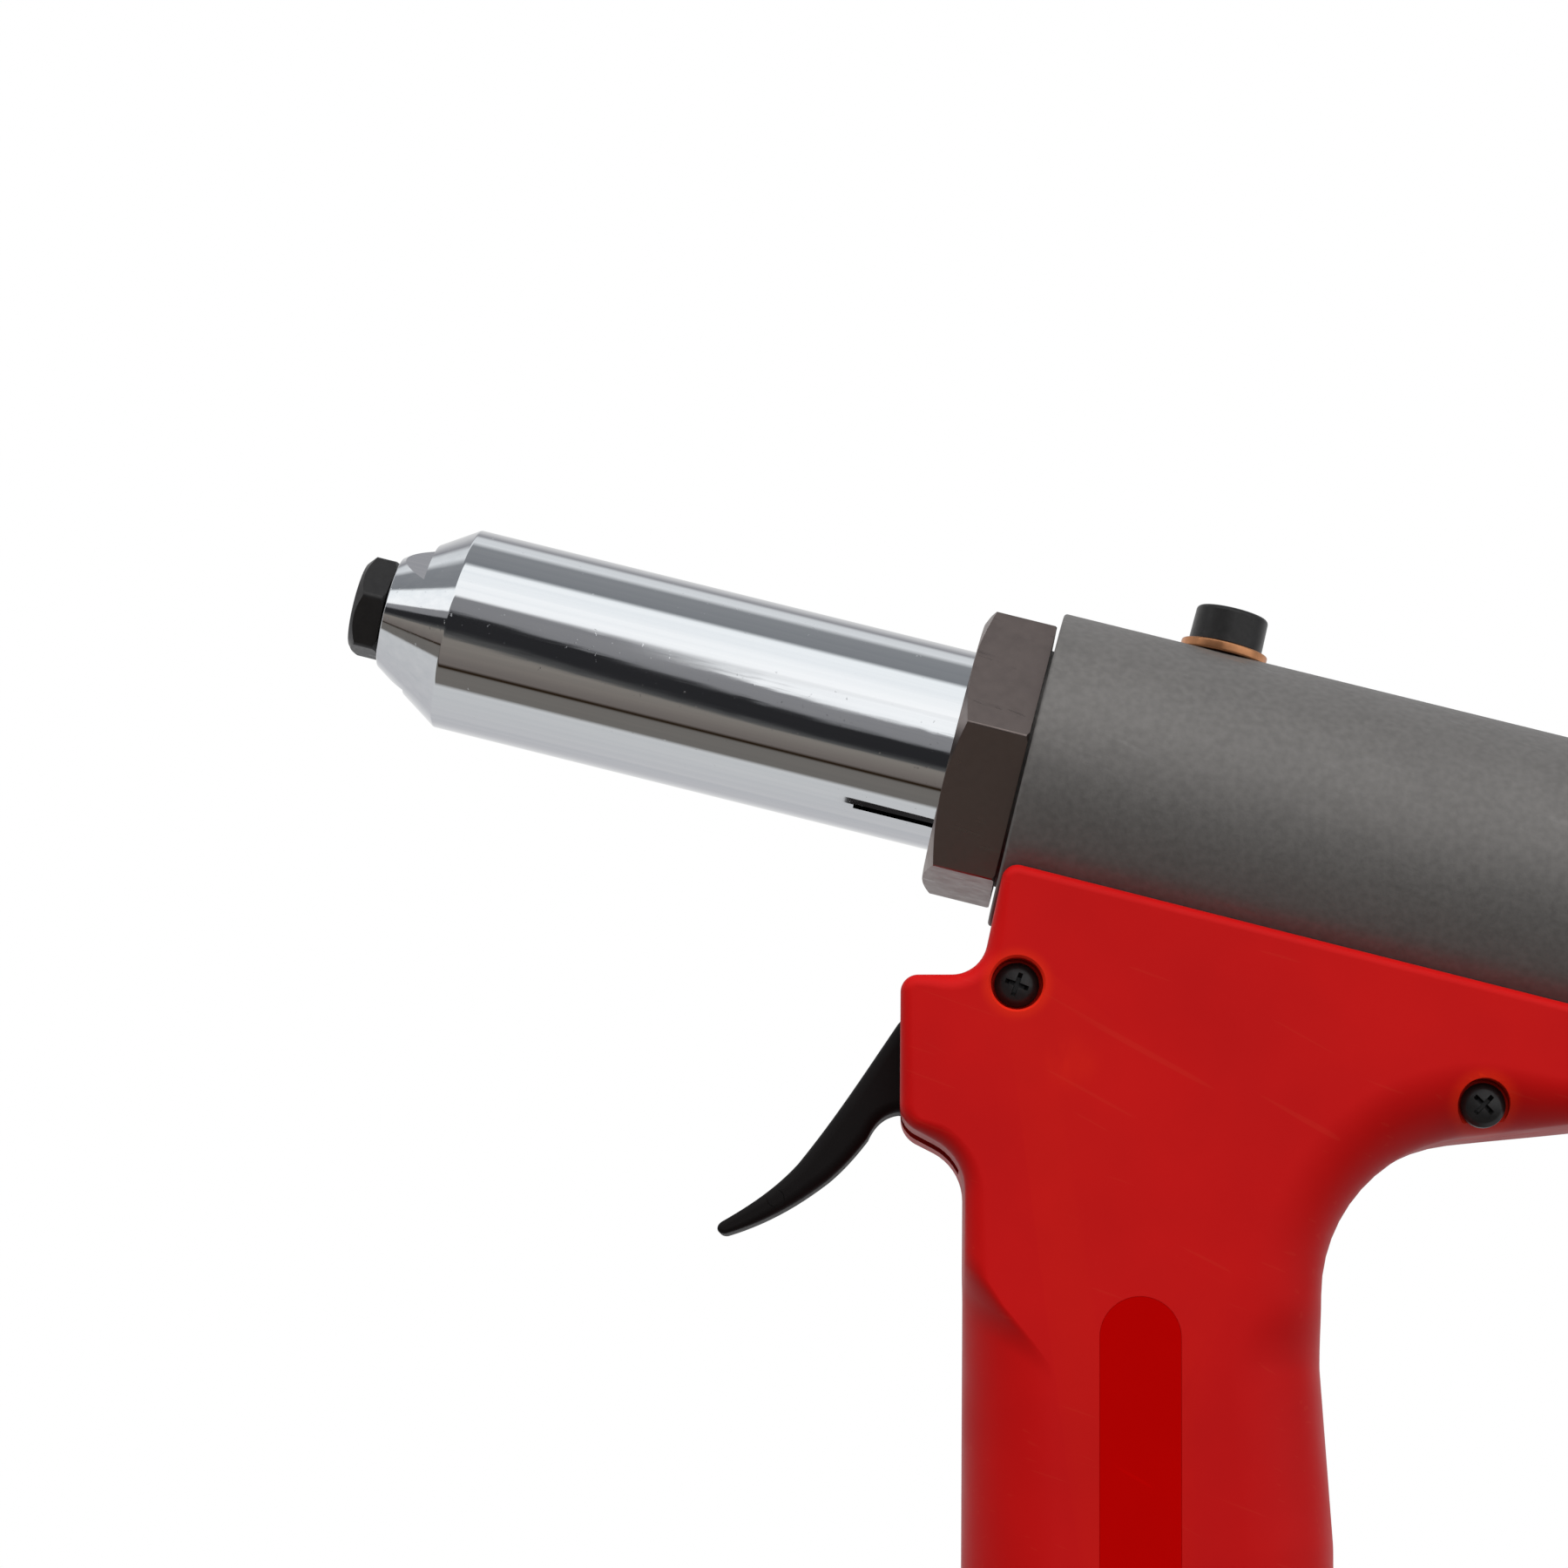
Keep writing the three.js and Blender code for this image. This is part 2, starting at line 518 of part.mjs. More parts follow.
// The covers' outer form, both halves in one, shrunk all round by `wall`.
function gripForm(wall) {
  const outline = rounded(wall ? inset(GRIP_OUTLINE, wall) : GRIP_OUTLINE);
  const half = GRIP_HALF_WIDTH - wall;
  const form = prismY(outline, -half, half, wall ? 0 : GRIP_EDGE);
  const radius = GRIP_CORNER_R - wall;
  const cornerY = half - radius;
  const frontX = GRIP_FRONT + GRIP_CORNER_R;
  const rearX = GRIP_REAR - GRIP_CORNER_R;
  const belowCrease = prismY([[-60, CREASE[0][1] + 20], CREASE[0], CREASE[1], [-10, 90], [-60, 90]], -40, 40);
  const pillars = [-1, 1].flatMap((towardsY) => [
    cornerPillar(frontX, towardsY * cornerY, radius, GRIP_CORNER_TOP.front, -1, towardsY)
      .intersect(belowCrease),
    cornerPillar(rearX, towardsY * cornerY, radius, GRIP_CORNER_TOP.rear, 1, towardsY),
  ]);
  const [front, rear] = [POMMEL.front + wall, POMMEL.rear - wall];
  const side = POMMEL.halfWidth - wall;
  const pommelR = POMMEL.cornerR - wall;
  const plan = rounded([
    [front, -side, pommelR], [rear, -side, pommelR], [rear, side, pommelR], [front, side, pommelR],
  ]);
  const pommel = prismZ(plan, GRIP_BOTTOM - (wall ? 4 : 0), POMMEL.top - wall, wall ? 1 : POMMEL.edge);
  return join(cut(form, ...pillars), pommel);
}

function gripCovers() {
  const hollow = cut(gripForm(0), gripForm(GRIP_WALL));
  const legRoom = turnedZ(rod(80, 232, BOSS_R + GAP));
  const bodyRoom = fromHead(turnedX(rod(BODY_FRONT - 30, BODY_REAR + 10, BODY_R + GAP), LARGE));
  const { front, rear, halfWidth, bottom, top } = TRIGGER_SLOT;
  const slot = solidOf(box(front, rear, -halfWidth, halfWidth, bottom, top));
  const inletHole = new THREE.CylinderGeometry(INLET_ROOM_R, INLET_ROOM_R, 12, MEDIUM).rotateZ(Math.PI / 2);
  const inletRoom = solidOf(inletHole.translate(POMMEL.rear, 0, INLET_Z));
  const seatEnd = PIN_HALF_LENGTH + 1;
  const pinEnd = PIN_HALF_LENGTH + 0.4;
  const pinSeat = turnedY(rod(-seatEnd, seatEnd, PIN_SEAT_R), SMALL, PIVOT.x, PIVOT.z);
  const pinRoom = turnedY(rod(-pinEnd, pinEnd, PIVOT.pinR + PIN_PLAY), SMALL, PIVOT.x, PIVOT.z);
  const pillars = GRIP_SCREWS.map(([x, z, , radius]) => turnedY(rod(-19, 19, radius), SMALL, x, z));
  const inside = gripForm(PILLAR_INSET);
  const filled = join(hollow, ...[pinSeat, ...pillars].map((solid) => solid.intersect(inside)));
  const screwRoom = GRIP_SCREWS.flatMap(([x, z, seat]) => [
    turnedY(rod(-20, -seat, SCREW.recessR), SMALL, x, z),
    turnedY(rod(-20, SCREW.length - seat + 1, SCREW.shankR + PIN_PLAY), SMALL, x, z),
  ]);
  const inlayRoom = [-1, 1].map((side) => prismY(inlayOutline(0),
    side < 0 ? -GRIP_HALF_WIDTH - 1 : GRIP_HALF_WIDTH - INLAY.depth,
    side < 0 ? -GRIP_HALF_WIDTH + INLAY.depth : GRIP_HALF_WIDTH + 1));
  return cut(filled, legRoom, bodyRoom, slot, inletRoom, pinRoom, ...screwRoom, ...inlayRoom);
}

// The inlay's outline, with round ends, shrunk all round by `edge`.
function inlayOutline(edge) {
  const half = INLAY.halfWidth - edge;
  const endR = half - 0.01;
  return rounded([
    [INLAY.x - half, INLAY.bottom + edge, endR], [INLAY.x + half, INLAY.bottom + edge, endR],
    [INLAY.x + half, INLAY.top - edge, endR], [INLAY.x - half, INLAY.top - edge, endR],
  ]);
}

function gripInlay(side) {
  const outline = inlayOutline(INLAY.gap);
  const low = GRIP_HALF_WIDTH - INLAY.depth + INLAY.gap;
  return side < 0
    ? prismY(outline, -low - INLAY.thickness, -low)
    : prismY(outline, low, low + INLAY.thickness);
}

// A self-tapping screw across the grip, with a cross recess in its head.
function gripScrew([x, z, depth]) {
  const seat = -depth - 0.1;
  const headEnd = seat - SCREW.headLength;
  const screw = turnedY([
    [headEnd, 0], [headEnd, SCREW.headR - 1], [headEnd + 0.7, SCREW.headR], [seat, SCREW.headR],
    [seat, SCREW.shankR], [seat + SCREW.length - 2, SCREW.shankR], [seat + SCREW.length, 0.4],
    [seat + SCREW.length, 0],
  ], SMALL, x, z);
  const { arm, halfWidth, depth: recessDepth } = CROSS_RECESS;
  const recess = [[arm, halfWidth], [halfWidth, arm]].map(([halfX, halfZ]) => solidOf(
    box(x - halfX, x + halfX, headEnd - 1, headEnd + recessDepth, z - halfZ, z + halfZ)));
  return cut(screw, ...recess);
}

// ---------------------------------------------------------------- trigger and pilot valve

function trigger() {
  const blade = new THREE.Shape();
  blade.moveTo(-30.6, 215.2);
  blade.bezierCurveTo(-34.9, 208.8, -38.3, 203.4, -43.2, 197.3);
  blade.bezierCurveTo(-46.0, 194.2, -49.2, 192.0, -52.8, 189.9);
  blade.bezierCurveTo(-53.7, 189.3, -53.4, 188.2, -52.2, 188.4);
  blade.bezierCurveTo(-47.9, 189.7, -43.6, 191.9, -39.4, 195.2);
  blade.bezierCurveTo(-37.6, 196.7, -36.0, 198.5, -34.4, 200.6);
  blade.bezierCurveTo(-33.7, 202.2, -32.6, 203.6, -30.6, 203.9);
  blade.lineTo(-24.0, 203.3);
  blade.quadraticCurveTo(-23.2, 203.3, -23.2, 204.1);
  blade.lineTo(-23.2, 209.0);
  blade.quadraticCurveTo(-23.2, 212.4, -23.8, 214.4);
  blade.absarc(PIVOT.x, PIVOT.z, PIVOT.hubR, 0, 2.2, false);
  const points = blade.getPoints(4).map((point) => [point.x, point.y]);
  const lever = prismY(points, -TRIGGER_WIDTH / 2, TRIGGER_WIDTH / 2, TRIGGER_EDGE);
  const pinHole = turnedY(rod(-TRIGGER_WIDTH, TRIGGER_WIDTH, PIVOT.pinR + PIN_PLAY), SMALL, PIVOT.x, PIVOT.z);
  return cut(lever, pinHole);
}

const triggerPin = () => turnedY(rod(-PIN_HALF_LENGTH, PIN_HALF_LENGTH, PIVOT.pinR), SMALL, PIVOT.x, PIVOT.z);

const alongPilot = (profile, facets) => solidOf(
  lathe(profile, facets).rotateZ(-Math.PI / 2).translate(0, 0, PILOT_Z));

const pilotValveBody = () => alongPilot([
  [-19.2, 2.2], [-19.2, 3.7], [-18.4, 4.5], [-12.5, 4.5], [-12.5, 0], [-13, 0], [-13, 2.2],
], SMALL);

const pilotStem = () => alongPilot([
  [-22.9, 0], [-22.7, 1.1], [-22.1, 1.7], [-21.2, 2], [-16.3, 2], [-16.3, 0],
], SMALL);

const pilotTube = () => turnedZ(ring(CYLINDER_TOP + GAP, PILOT_Z - 4.8, 1.1, 1.9), SMALL, PILOT_TUBE_X);

// ---------------------------------------------------------------- oil tube, air cylinder and base

const oilTube = () => turnedZ([
  [81.9, 10], [81.9, LEG_R], [LEG_SHOULDER, LEG_R], [LEG_SHOULDER, LEG_THREAD_R], [221, LEG_THREAD_R],
  [221, LEG_BORE_R], [92.2, LEG_BORE_R], [92.2, 10],
], MEDIUM);

const plungerGland = () => turnedZ([
  [82.3, LEG_BORE_R], [82.3, 9.8], [91.9, 9.8], [91.9, 9.6], [89, 9.6], [89, LEG_BORE_R],
], MEDIUM);

const plungerSeal = () => turnedZ(ring(89.3, 91.8, LEG_BORE_R, 9.3), MEDIUM);

function legNut() {
  const hex = hexZ(81.6, CYLINDER_CEILING - GAP, 30);
  return cut(hex, turnedZ(rod(80, 90, LEG_R + SLIDE_GAP)));
}

function airCylinder() {
  const r = CYLINDER_R;
  return turnedZ([
    [CYLINDER_BOTTOM, CYLINDER_BORE_R], [CYLINDER_BOTTOM, r],
    [82, r], [82, r - 0.9], [83.5, r - 0.9], [83.5, r], [90.5, r],
    [CYLINDER_TOP - 1.2, r - 1.6], [CYLINDER_TOP, r - 4.5], [CYLINDER_TOP, LEG_R + GAP],
    [CYLINDER_CEILING, LEG_R + GAP], [CYLINDER_CEILING, CYLINDER_BORE_R],
  ], LARGE);
}

function airPiston() {
  const { bottom, top } = AIR_PISTON;
  const r = CYLINDER_BORE_R - 0.4;
  return turnedZ([
    [bottom, 9.6], [bottom, r - 0.6], [bottom + 0.6, r], [26, r], [26, r - 2.4], [29.6, r - 2.4],
    [29.6, r], [top, r], [top, 20], [top - 4, 18], [top - 4, 11], [top, 10], [top, 5.2],
    [bottom + 5, 5.2], [bottom + 5, 9.6],
  ], MEDIUM);
}

const airPistonSeal = () => turnedZ(ring(26.2, 29.4, CYLINDER_BORE_R - 2.2, CYLINDER_BORE_R - 0.28), MEDIUM);

const plungerRod = () => turnedZ([
  [23.2, 0], [23.2, 5], [AIR_PISTON.top + 0.2, 5], [AIR_PISTON.top + 0.2, LEG_BORE_R - SLIDE_GAP],
  [99, LEG_BORE_R - SLIDE_GAP], [100, LEG_BORE_R - 1.2], [100, 0],
], MEDIUM);

const pistonNut = () => cut(hexZ(23.1, 27.5, 16), turnedZ(rod(22, 29, 5.2), SMALL));

function bottomCap() {
  const plugR = CYLINDER_BORE_R - GAP;
  const cap = turnedZ([
    [6, 0], [6, CYLINDER_R - 0.6], [6.6, CYLINDER_R], [CYLINDER_BOTTOM - GAP, CYLINDER_R],
    [CYLINDER_BOTTOM - GAP, plugR], [14, plugR], [14, plugR - 2.2], [17, plugR - 2.2],
    [17, plugR], [21.5, plugR], [21.5, plugR - 5], [13, plugR - 7], [13, 0],
  ], MEDIUM);
  const vents = [0, 1, 2, 3].map((i) => {
    const angle = (i * Math.PI) / 2 + Math.PI / 4;
    const reach = CYLINDER_R / 2;
    return turnedZ(rod(5, 14, 2.5), SMALL, reach * Math.cos(angle), reach * Math.sin(angle));
  });
  return cut(cap, ...vents);
}

const silencerDisc = () => turnedZ(ring(BOOT.floor + 0.2, 5.7, 6, 32), MEDIUM);

function rubberBoot() {
  const { r, innerR, floor, top } = BOOT;
  const cup = turnedZ([
    [0, 0], [0, r - 2.5], [0.7, r - 0.8], [2.5, r], [8, r], [9, r - 1.2], [top - 1, r - 1.2],
    [top, r - 2.2], [top, innerR], [floor, innerR], [floor, 0],
  ], LARGE);
  const vents = [0, 1, 2, 3, 4, 5, 6, 7].map((i) => solidOf(
    new THREE.BoxGeometry(12, 4, 1.8).translate(r, 0, 4.6).rotateZ(((i + 0.5) * Math.PI) / 4)));
  return cut(cup, ...vents);
}

// ---------------------------------------------------------------- main valve and air inlet

function valveBlock() {
  const plan = rounded([[13.6, -12.5, 1], [27.5, -12.5, 5], [27.5, 12.5, 5], [13.6, 12.5, 1]]);
  const block = prismZ(plan, CYLINDER_TOP + GAP, 114);
  const legRoom = turnedZ(rod(90, 120, BOSS_R + GAP));
  const bore = turnedZ(rod(98, 118, VALVE_BORE_R), SMALL, VALVE_X);
  const port = solidOf(new THREE.CylinderGeometry(5.3, 5.3, 6, SMALL).rotateZ(Math.PI / 2)
    .translate(27.2, 0, INLET_Z));
  return cut(block, legRoom, bore, port);
}

const valveSpool = () => turnedZ([
  [98.3, 0], [98.3, 3.2], [99, 4], [100.6, 4], [100.6, 2.6], [102.6, 2.6], [102.6, 4], [104.5, 4], [104.5, 0],
], SMALL, VALVE_X);

const valvePlug = () => turnedZ([
  [110.7, 0], [110.7, 4], [114.3, 4], [114.3, 5.6], [115.6, 5.6], [115.6, 0],
], SMALL, VALVE_X);

function airInlet() {
  const nipple = turnedX([
    [24.6, 2.4], [24.6, 5.1], [28.4, 5.1], [28.4, 6], [41.5, 6], [41.5, 4.6], [48, 4.6], [48.8, 5.9],
    [50.6, 5.9], [51.4, 4.1], [57, 4.1], [58.5, 5], [63, 5], [63.6, 4.4], [63.6, 2.4],
  ], SMALL);
  const hex = cut(hexX(33, 40.5, 14), turnedX(rod(32, 42, 2.4), SMALL));
  return join(nipple, hex);
}

// ---------------------------------------------------------------- assembly

piece(head, 'nosepiece', 'black_steel', nosepiece());
piece(head, 'nose_housing', 'chrome', noseHousing());
piece(head, 'front_lock_nut', 'nut_steel', lockNut());
piece(gun, 'hydraulic_body', 'grey_aluminium', hydraulicBody());
piece(head, 'oil_fill_screw', 'black_steel', oilScrew());
piece(head, 'copper_washer', 'copper', copperWasher());
piece(head, 'front_gland', 'brass', frontGland());
piece(head, 'rod_seal', 'rubber', rodSeal());
piece(head, 'rear_cap', 'base_aluminium', rearCap());
piece(head, 'collector_seal', 'rubber', oRingX(110, CAP_SPIGOT_R - 0.35, 0.95));
piece(head, 'mandrel_collector', 'black_plastic', mandrelCollector());

piece(head, 'hydraulic_piston', 'bright_steel', hydraulicPiston());
piece(head, 'piston_seal', 'rubber', pistonSeal());
piece(head, 'return_spring', 'bright_steel', coilX(22.2, BODY_BORE_END, 12.5, 1.2, 9));
piece(head, 'mandrel_tube', 'bright_steel', mandrelTube());
piece(head, 'pulling_coupler', 'bright_steel', pullingCoupler());
piece(head, 'coupler_lock_nut', 'black_steel', couplerNut());
piece(head, 'jaw_case', 'bright_steel', jawCase());
for (let i = 0; i < JAW_COUNT; i += 1) {
  piece(head, `jaw_${i + 1}`, 'black_steel', jaw((i * 2 * Math.PI) / JAW_COUNT));
}
piece(head, 'jaw_pusher', 'bright_steel', jawPusher());
piece(head, 'jaw_spring', 'bright_steel', coilX(-71.3, -52.3, 4.8, 0.6, 7));

const covers = gripCovers();
const rightSpace = solidOf(box(-60, 120, -40, -PARTING, 80, 250));
const leftSpace = solidOf(box(-60, 120, PARTING, 40, 80, 250));
piece(gun, 'grip_cover_right', 'red_plastic', covers.intersect(rightSpace));
piece(gun, 'grip_cover_left', 'red_plastic', covers.intersect(leftSpace));
piece(gun, 'grip_inlay_right', 'deep_red_plastic', gripInlay(-1));
piece(gun, 'grip_inlay_left', 'deep_red_plastic', gripInlay(1));
GRIP_SCREWS.forEach((place, i) => piece(gun, `grip_screw_${i + 1}`, 'black_steel', gripScrew(place)));

piece(gun, 'trigger', 'black_plastic', trigger());
piece(gun, 'trigger_pin', 'bright_steel', triggerPin());
piece(gun, 'pilot_valve_body', 'brass', pilotValveBody());
piece(gun, 'pilot_valve_stem', 'bright_steel', pilotStem());
piece(gun, 'pilot_air_tube', 'brass', pilotTube());

piece(gun, 'oil_tube', 'bright_steel', oilTube());
piece(gun, 'plunger_gland', 'brass', plungerGland());
piece(gun, 'plunger_seal', 'rubber', plungerSeal());
piece(gun, 'oil_tube_nut', 'bright_steel', legNut());
piece(gun, 'air_cylinder', 'base_aluminium', airCylinder());
piece(gun, 'air_piston', 'grey_aluminium', airPiston());
piece(gun, 'air_piston_seal', 'rubber', airPistonSeal());
piece(gun, 'plunger_rod', 'bright_steel', plungerRod());
piece(gun, 'air_piston_nut', 'black_steel', pistonNut());
piece(gun, 'bottom_cap', 'base_aluminium', bottomCap());
piece(gun, 'bottom_cap_seal', 'rubber', oRingZ(15.5, CYLINDER_BORE_R - 1.1, 0.75));
piece(gun, 'silencer_disc', 'porous_bronze', silencerDisc());
piece(gun, 'rubber_base', 'rubber', rubberBoot());

piece(gun, 'valve_block', 'grey_aluminium', valveBlock());
piece(gun, 'valve_spool', 'bright_steel', valveSpool());
piece(gun, 'valve_spring', 'bright_steel',
  coilX(104.8, 110.4, 2.9, 0.4, 3).rotateY(-Math.PI / 2).translate(VALVE_X, 0, 0));
piece(gun, 'valve_plug', 'brass', valvePlug());
const inlet = new THREE.Group();
inlet.position.z = INLET_Z;
gun.add(inlet);
piece(inlet, 'air_inlet', 'bright_steel', airInlet());

export default gun;
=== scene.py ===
import json
import math

import bpy
from mathutils import Matrix, Vector


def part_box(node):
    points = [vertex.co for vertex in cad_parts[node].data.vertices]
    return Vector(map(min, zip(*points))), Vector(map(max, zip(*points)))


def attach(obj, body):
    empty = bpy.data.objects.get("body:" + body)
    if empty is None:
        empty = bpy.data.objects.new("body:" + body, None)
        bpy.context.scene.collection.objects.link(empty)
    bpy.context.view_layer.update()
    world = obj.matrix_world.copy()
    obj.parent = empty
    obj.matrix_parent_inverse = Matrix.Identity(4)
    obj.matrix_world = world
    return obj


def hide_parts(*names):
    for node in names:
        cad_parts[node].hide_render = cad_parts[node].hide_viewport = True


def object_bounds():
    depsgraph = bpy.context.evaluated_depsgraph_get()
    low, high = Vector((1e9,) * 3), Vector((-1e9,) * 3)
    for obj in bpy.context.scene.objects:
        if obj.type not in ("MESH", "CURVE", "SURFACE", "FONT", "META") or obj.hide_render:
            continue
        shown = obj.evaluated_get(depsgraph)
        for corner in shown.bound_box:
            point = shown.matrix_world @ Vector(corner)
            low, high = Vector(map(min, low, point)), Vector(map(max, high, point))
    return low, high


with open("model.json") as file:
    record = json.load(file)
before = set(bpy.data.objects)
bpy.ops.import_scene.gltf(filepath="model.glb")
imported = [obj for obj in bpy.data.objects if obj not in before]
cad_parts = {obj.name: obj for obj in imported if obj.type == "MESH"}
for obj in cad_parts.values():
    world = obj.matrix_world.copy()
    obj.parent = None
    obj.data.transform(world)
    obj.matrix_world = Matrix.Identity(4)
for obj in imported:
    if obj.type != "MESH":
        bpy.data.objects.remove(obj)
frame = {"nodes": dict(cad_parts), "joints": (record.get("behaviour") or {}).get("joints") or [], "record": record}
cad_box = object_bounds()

# A pneumatic rivet gun. Shapes are drawn in millimetres and made in metres. The head's pieces are drawn
# in the head's own frame: X runs rearwards along the head, and 0 is where it crosses the handle's axis.

MM = 0.001
JOINTS = {joint["name"]: joint for joint in frame["joints"]}

# ------------------------------------------------------------------------------------ places from the frame

head_axis = Vector(JOINTS["pull_stroke"]["axis"]).normalized()
TILT = math.atan2(-head_axis.z, head_axis.x)


def centre(node):
    low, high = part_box(node)
    return (low + high) / 2


nose_centre = centre("nose_housing")
HEAD_HEIGHT = (nose_centre.z - nose_centre.x * head_axis.z / head_axis.x) / MM
HEAD = Matrix.Translation((0, 0, HEAD_HEIGHT)) @ Matrix.Rotation(TILT, 4, "Y")
ALONG_X = Matrix.Rotation(math.pi / 2, 4, "Y")
ALONG_Y = Matrix.Rotation(-math.pi / 2, 4, "X")
HEAD_TURNED = HEAD @ ALONG_X
UPRIGHT = Matrix.Identity(4)


def span(node, placement):
    """Where a CAD node starts and ends along its own axis, and its greatest radius, in mm."""
    back = placement.inverted()
    points = [back @ (vertex.co / MM) for vertex in frame["nodes"][node].data.vertices]
    along = [point.z for point in points]
    return min(along), max(along), max(math.hypot(point.x, point.y) for point in points)


NOSE_TIP, _, _ = span("nosepiece", HEAD_TURNED)
HOUSING_FRONT, HOUSING_END, FLANGE_R = span("nose_housing", HEAD_TURNED)
NUT_FRONT, NUT_REAR, NUT_R = span("front_lock_nut", HEAD_TURNED)
CAP_FRONT, CAP_END, CAP_R = span("rear_cap", HEAD_TURNED)
COLLECTOR_FRONT, COLLECTOR_REAR, COLLECTOR_R = span("mandrel_collector", HEAD_TURNED)
CYLINDER_BOTTOM, CYLINDER_TOP, CYLINDER_R = span("air_cylinder", UPRIGHT)
_, BOOT_TOP, BOOT_R = span("rubber_base", UPRIGHT)
INLET_Z = centre("air_inlet").z / MM
INLET = Matrix.Translation((0, 0, INLET_Z)) @ ALONG_X
INLET_FRONT, INLET_END, _ = span("air_inlet", INLET)
SCREW_AXIS = HEAD @ Matrix.Translation(((HEAD.inverted() @ (centre("oil_fill_screw") / MM)).x, 0, 0))
SCREW_BOTTOM, SCREW_TOP, SCREW_HEAD_R = span("oil_fill_screw", SCREW_AXIS)
WASHER_BOTTOM, WASHER_TOP, WASHER_R = span("copper_washer", SCREW_AXIS)
PIVOT = Vector(JOINTS["trigger_pull"]["pos_m"]) / MM

# Sizes that the frame doesn't give, in mm
HOUSING_R = 13.1
PIN_HOLE_R = 1.65
GRIP_HALF_WIDTH = 18
GRIP_WALL = 2.4
BODY_FRONT = -14.8
BODY_REAR = 97.6
BODY_R = 20.65
GAP = 0.3
TOUCH = 0.02

# ------------------------------------------------------------------------------------ mesh making


def new_piece(name, vertices, faces, placement=UPRIGHT):
    """A mesh object in metres, from vertices in millimetres in a placed frame."""
    mesh = bpy.data.meshes.new(name)
    mesh.from_pydata([tuple((placement @ Vector(vertex)) * MM) for vertex in vertices], [], faces)
    mesh.validate()
    mesh.update()
    piece = bpy.data.objects.new(name, mesh)
    bpy.context.scene.collection.objects.link(piece)
    return piece


def filleted(corners, closed=False, step=math.radians(9)):
    """Corners (a, b, radius) as an outline: each corner is an arc of its radius, or sharp at 0."""
    outline = []
    count = len(corners)
    for i, (a, b, radius) in enumerate(corners):
        at_end = not closed and i in (0, count - 1)
        if radius == 0 or at_end:
            outline.append((a, b))
            continue
        corner = Vector((a, b))
        back = (Vector(corners[i - 1][:2]) - corner).normalized()
        ahead = (Vector(corners[(i + 1) % count][:2]) - corner).normalized()
        half = math.acos(max(-1.0, min(1.0, back.dot(ahead)))) / 2
        middle = corner + (back + ahead).normalized() * (radius / math.sin(half))
        spoke = corner + back * (radius / math.tan(half)) - middle
        sweep = (math.pi - 2 * half) * math.copysign(1, back.y * ahead.x - back.x * ahead.y)
        steps = max(1, math.ceil(abs(sweep) / step))
        for k in range(steps + 1):
            turned = Matrix.Rotation(sweep * k / steps, 2) @ spoke
            outline.append(tuple(middle + turned))
    return outline


def lathe(name, corners, placement, facets=96, ripple=None):
    """A turned solid from corners (along, radius, fillet). ripple(along, angle) adds to the radius."""
    closed = min(corner[1] for corner in corners) > 0
    profile = filleted(corners, closed)
    vertices, rings = [], []
    for along, radius in profile:
        if radius < 1e-6:
            rings.append([len(vertices)])
            vertices.append((0, 0, along))
            continue
        rings.append(list(range(len(vertices), len(vertices) + facets)))
        for k in range(facets):
            angle = 2 * math.pi * k / facets
            r = radius + (ripple(along, angle) if ripple else 0)
            vertices.append((r * math.cos(angle), r * math.sin(angle), along))
    faces = []
    pairs = list(zip(rings, rings[1:] + ([rings[0]] if closed else [])))
    for low, high in pairs:
        for k in range(facets):
            n = (k + 1) % facets
            loop = [low[k % len(low)], low[n % len(low)], high[n % len(high)], high[k % len(high)]]
            face = list(dict.fromkeys(loop))
            if len(face) > 2:
                faces.append(face)
    piece = new_piece(name, vertices, faces, placement)
    outwards(piece)
    return piece


def outwards(piece):
    """Turns every face of a closed mesh outwards."""
    mesh = piece.data
    volume = 0
    for polygon in mesh.polygons:
        points = [mesh.vertices[v].co for v in polygon.vertices]
        for p, q in zip(points[1:], points[2:]):
            volume += points[0].dot(p.cross(q))
    if volume < 0:
        mesh.flip_normals()


def loft(name, rings, placement=UPRIGHT):
    """A closed solid through rings of equally many points, with a flat face at each end."""
    count = len(rings[0])
    vertices = [point for ring in rings for point in ring]
    faces = [list(range(count)), list(range(len(vertices) - count, len(vertices)))[::-1]]
    for level in range(len(rings) - 1):
        start = level * count
        for k in range(count):
            n = (k + 1) % count
            faces.append([start + n, start + k, start + count + k, start + count + n])
    piece = new_piece(name, vertices, faces, placement)
    outwards(piece)
    return piece


def prism(name, outline, low, high, placement=UPRIGHT):
    """An outline of (x, y) pairs extruded along Z."""
    return loft(name, [[(x, y, z) for x, y in outline] for z in (low, high)], placement)


def block(name, low, high, placement=UPRIGHT):
    (x0, y0, z0), (x1, y1, z1) = low, high
    return prism(name, [(x0, y0), (x1, y0), (x1, y1), (x0, y1)], z0, z1, placement)


def settle(piece):
    """Applies a piece's modifiers to its mesh."""
    depsgraph = bpy.context.evaluated_depsgraph_get()
    mesh = bpy.data.meshes.new_from_object(piece.evaluated_get(depsgraph))
    piece.modifiers.clear()
    piece.data = mesh
    mesh.name = piece.name


def combine(piece, operation, *tools):
    """Joins, cuts or intersects a piece with tools, and removes the tools."""
    for tool in tools:
        modifier = piece.modifiers.new("combine", "BOOLEAN")
        modifier.operation = operation
        modifier.solver = "MANIFOLD"
        modifier.object = tool
    settle(piece)
    for tool in tools:
        bpy.data.objects.remove(tool)


def cut(piece, *tools):
    combine(piece, "DIFFERENCE", *tools)


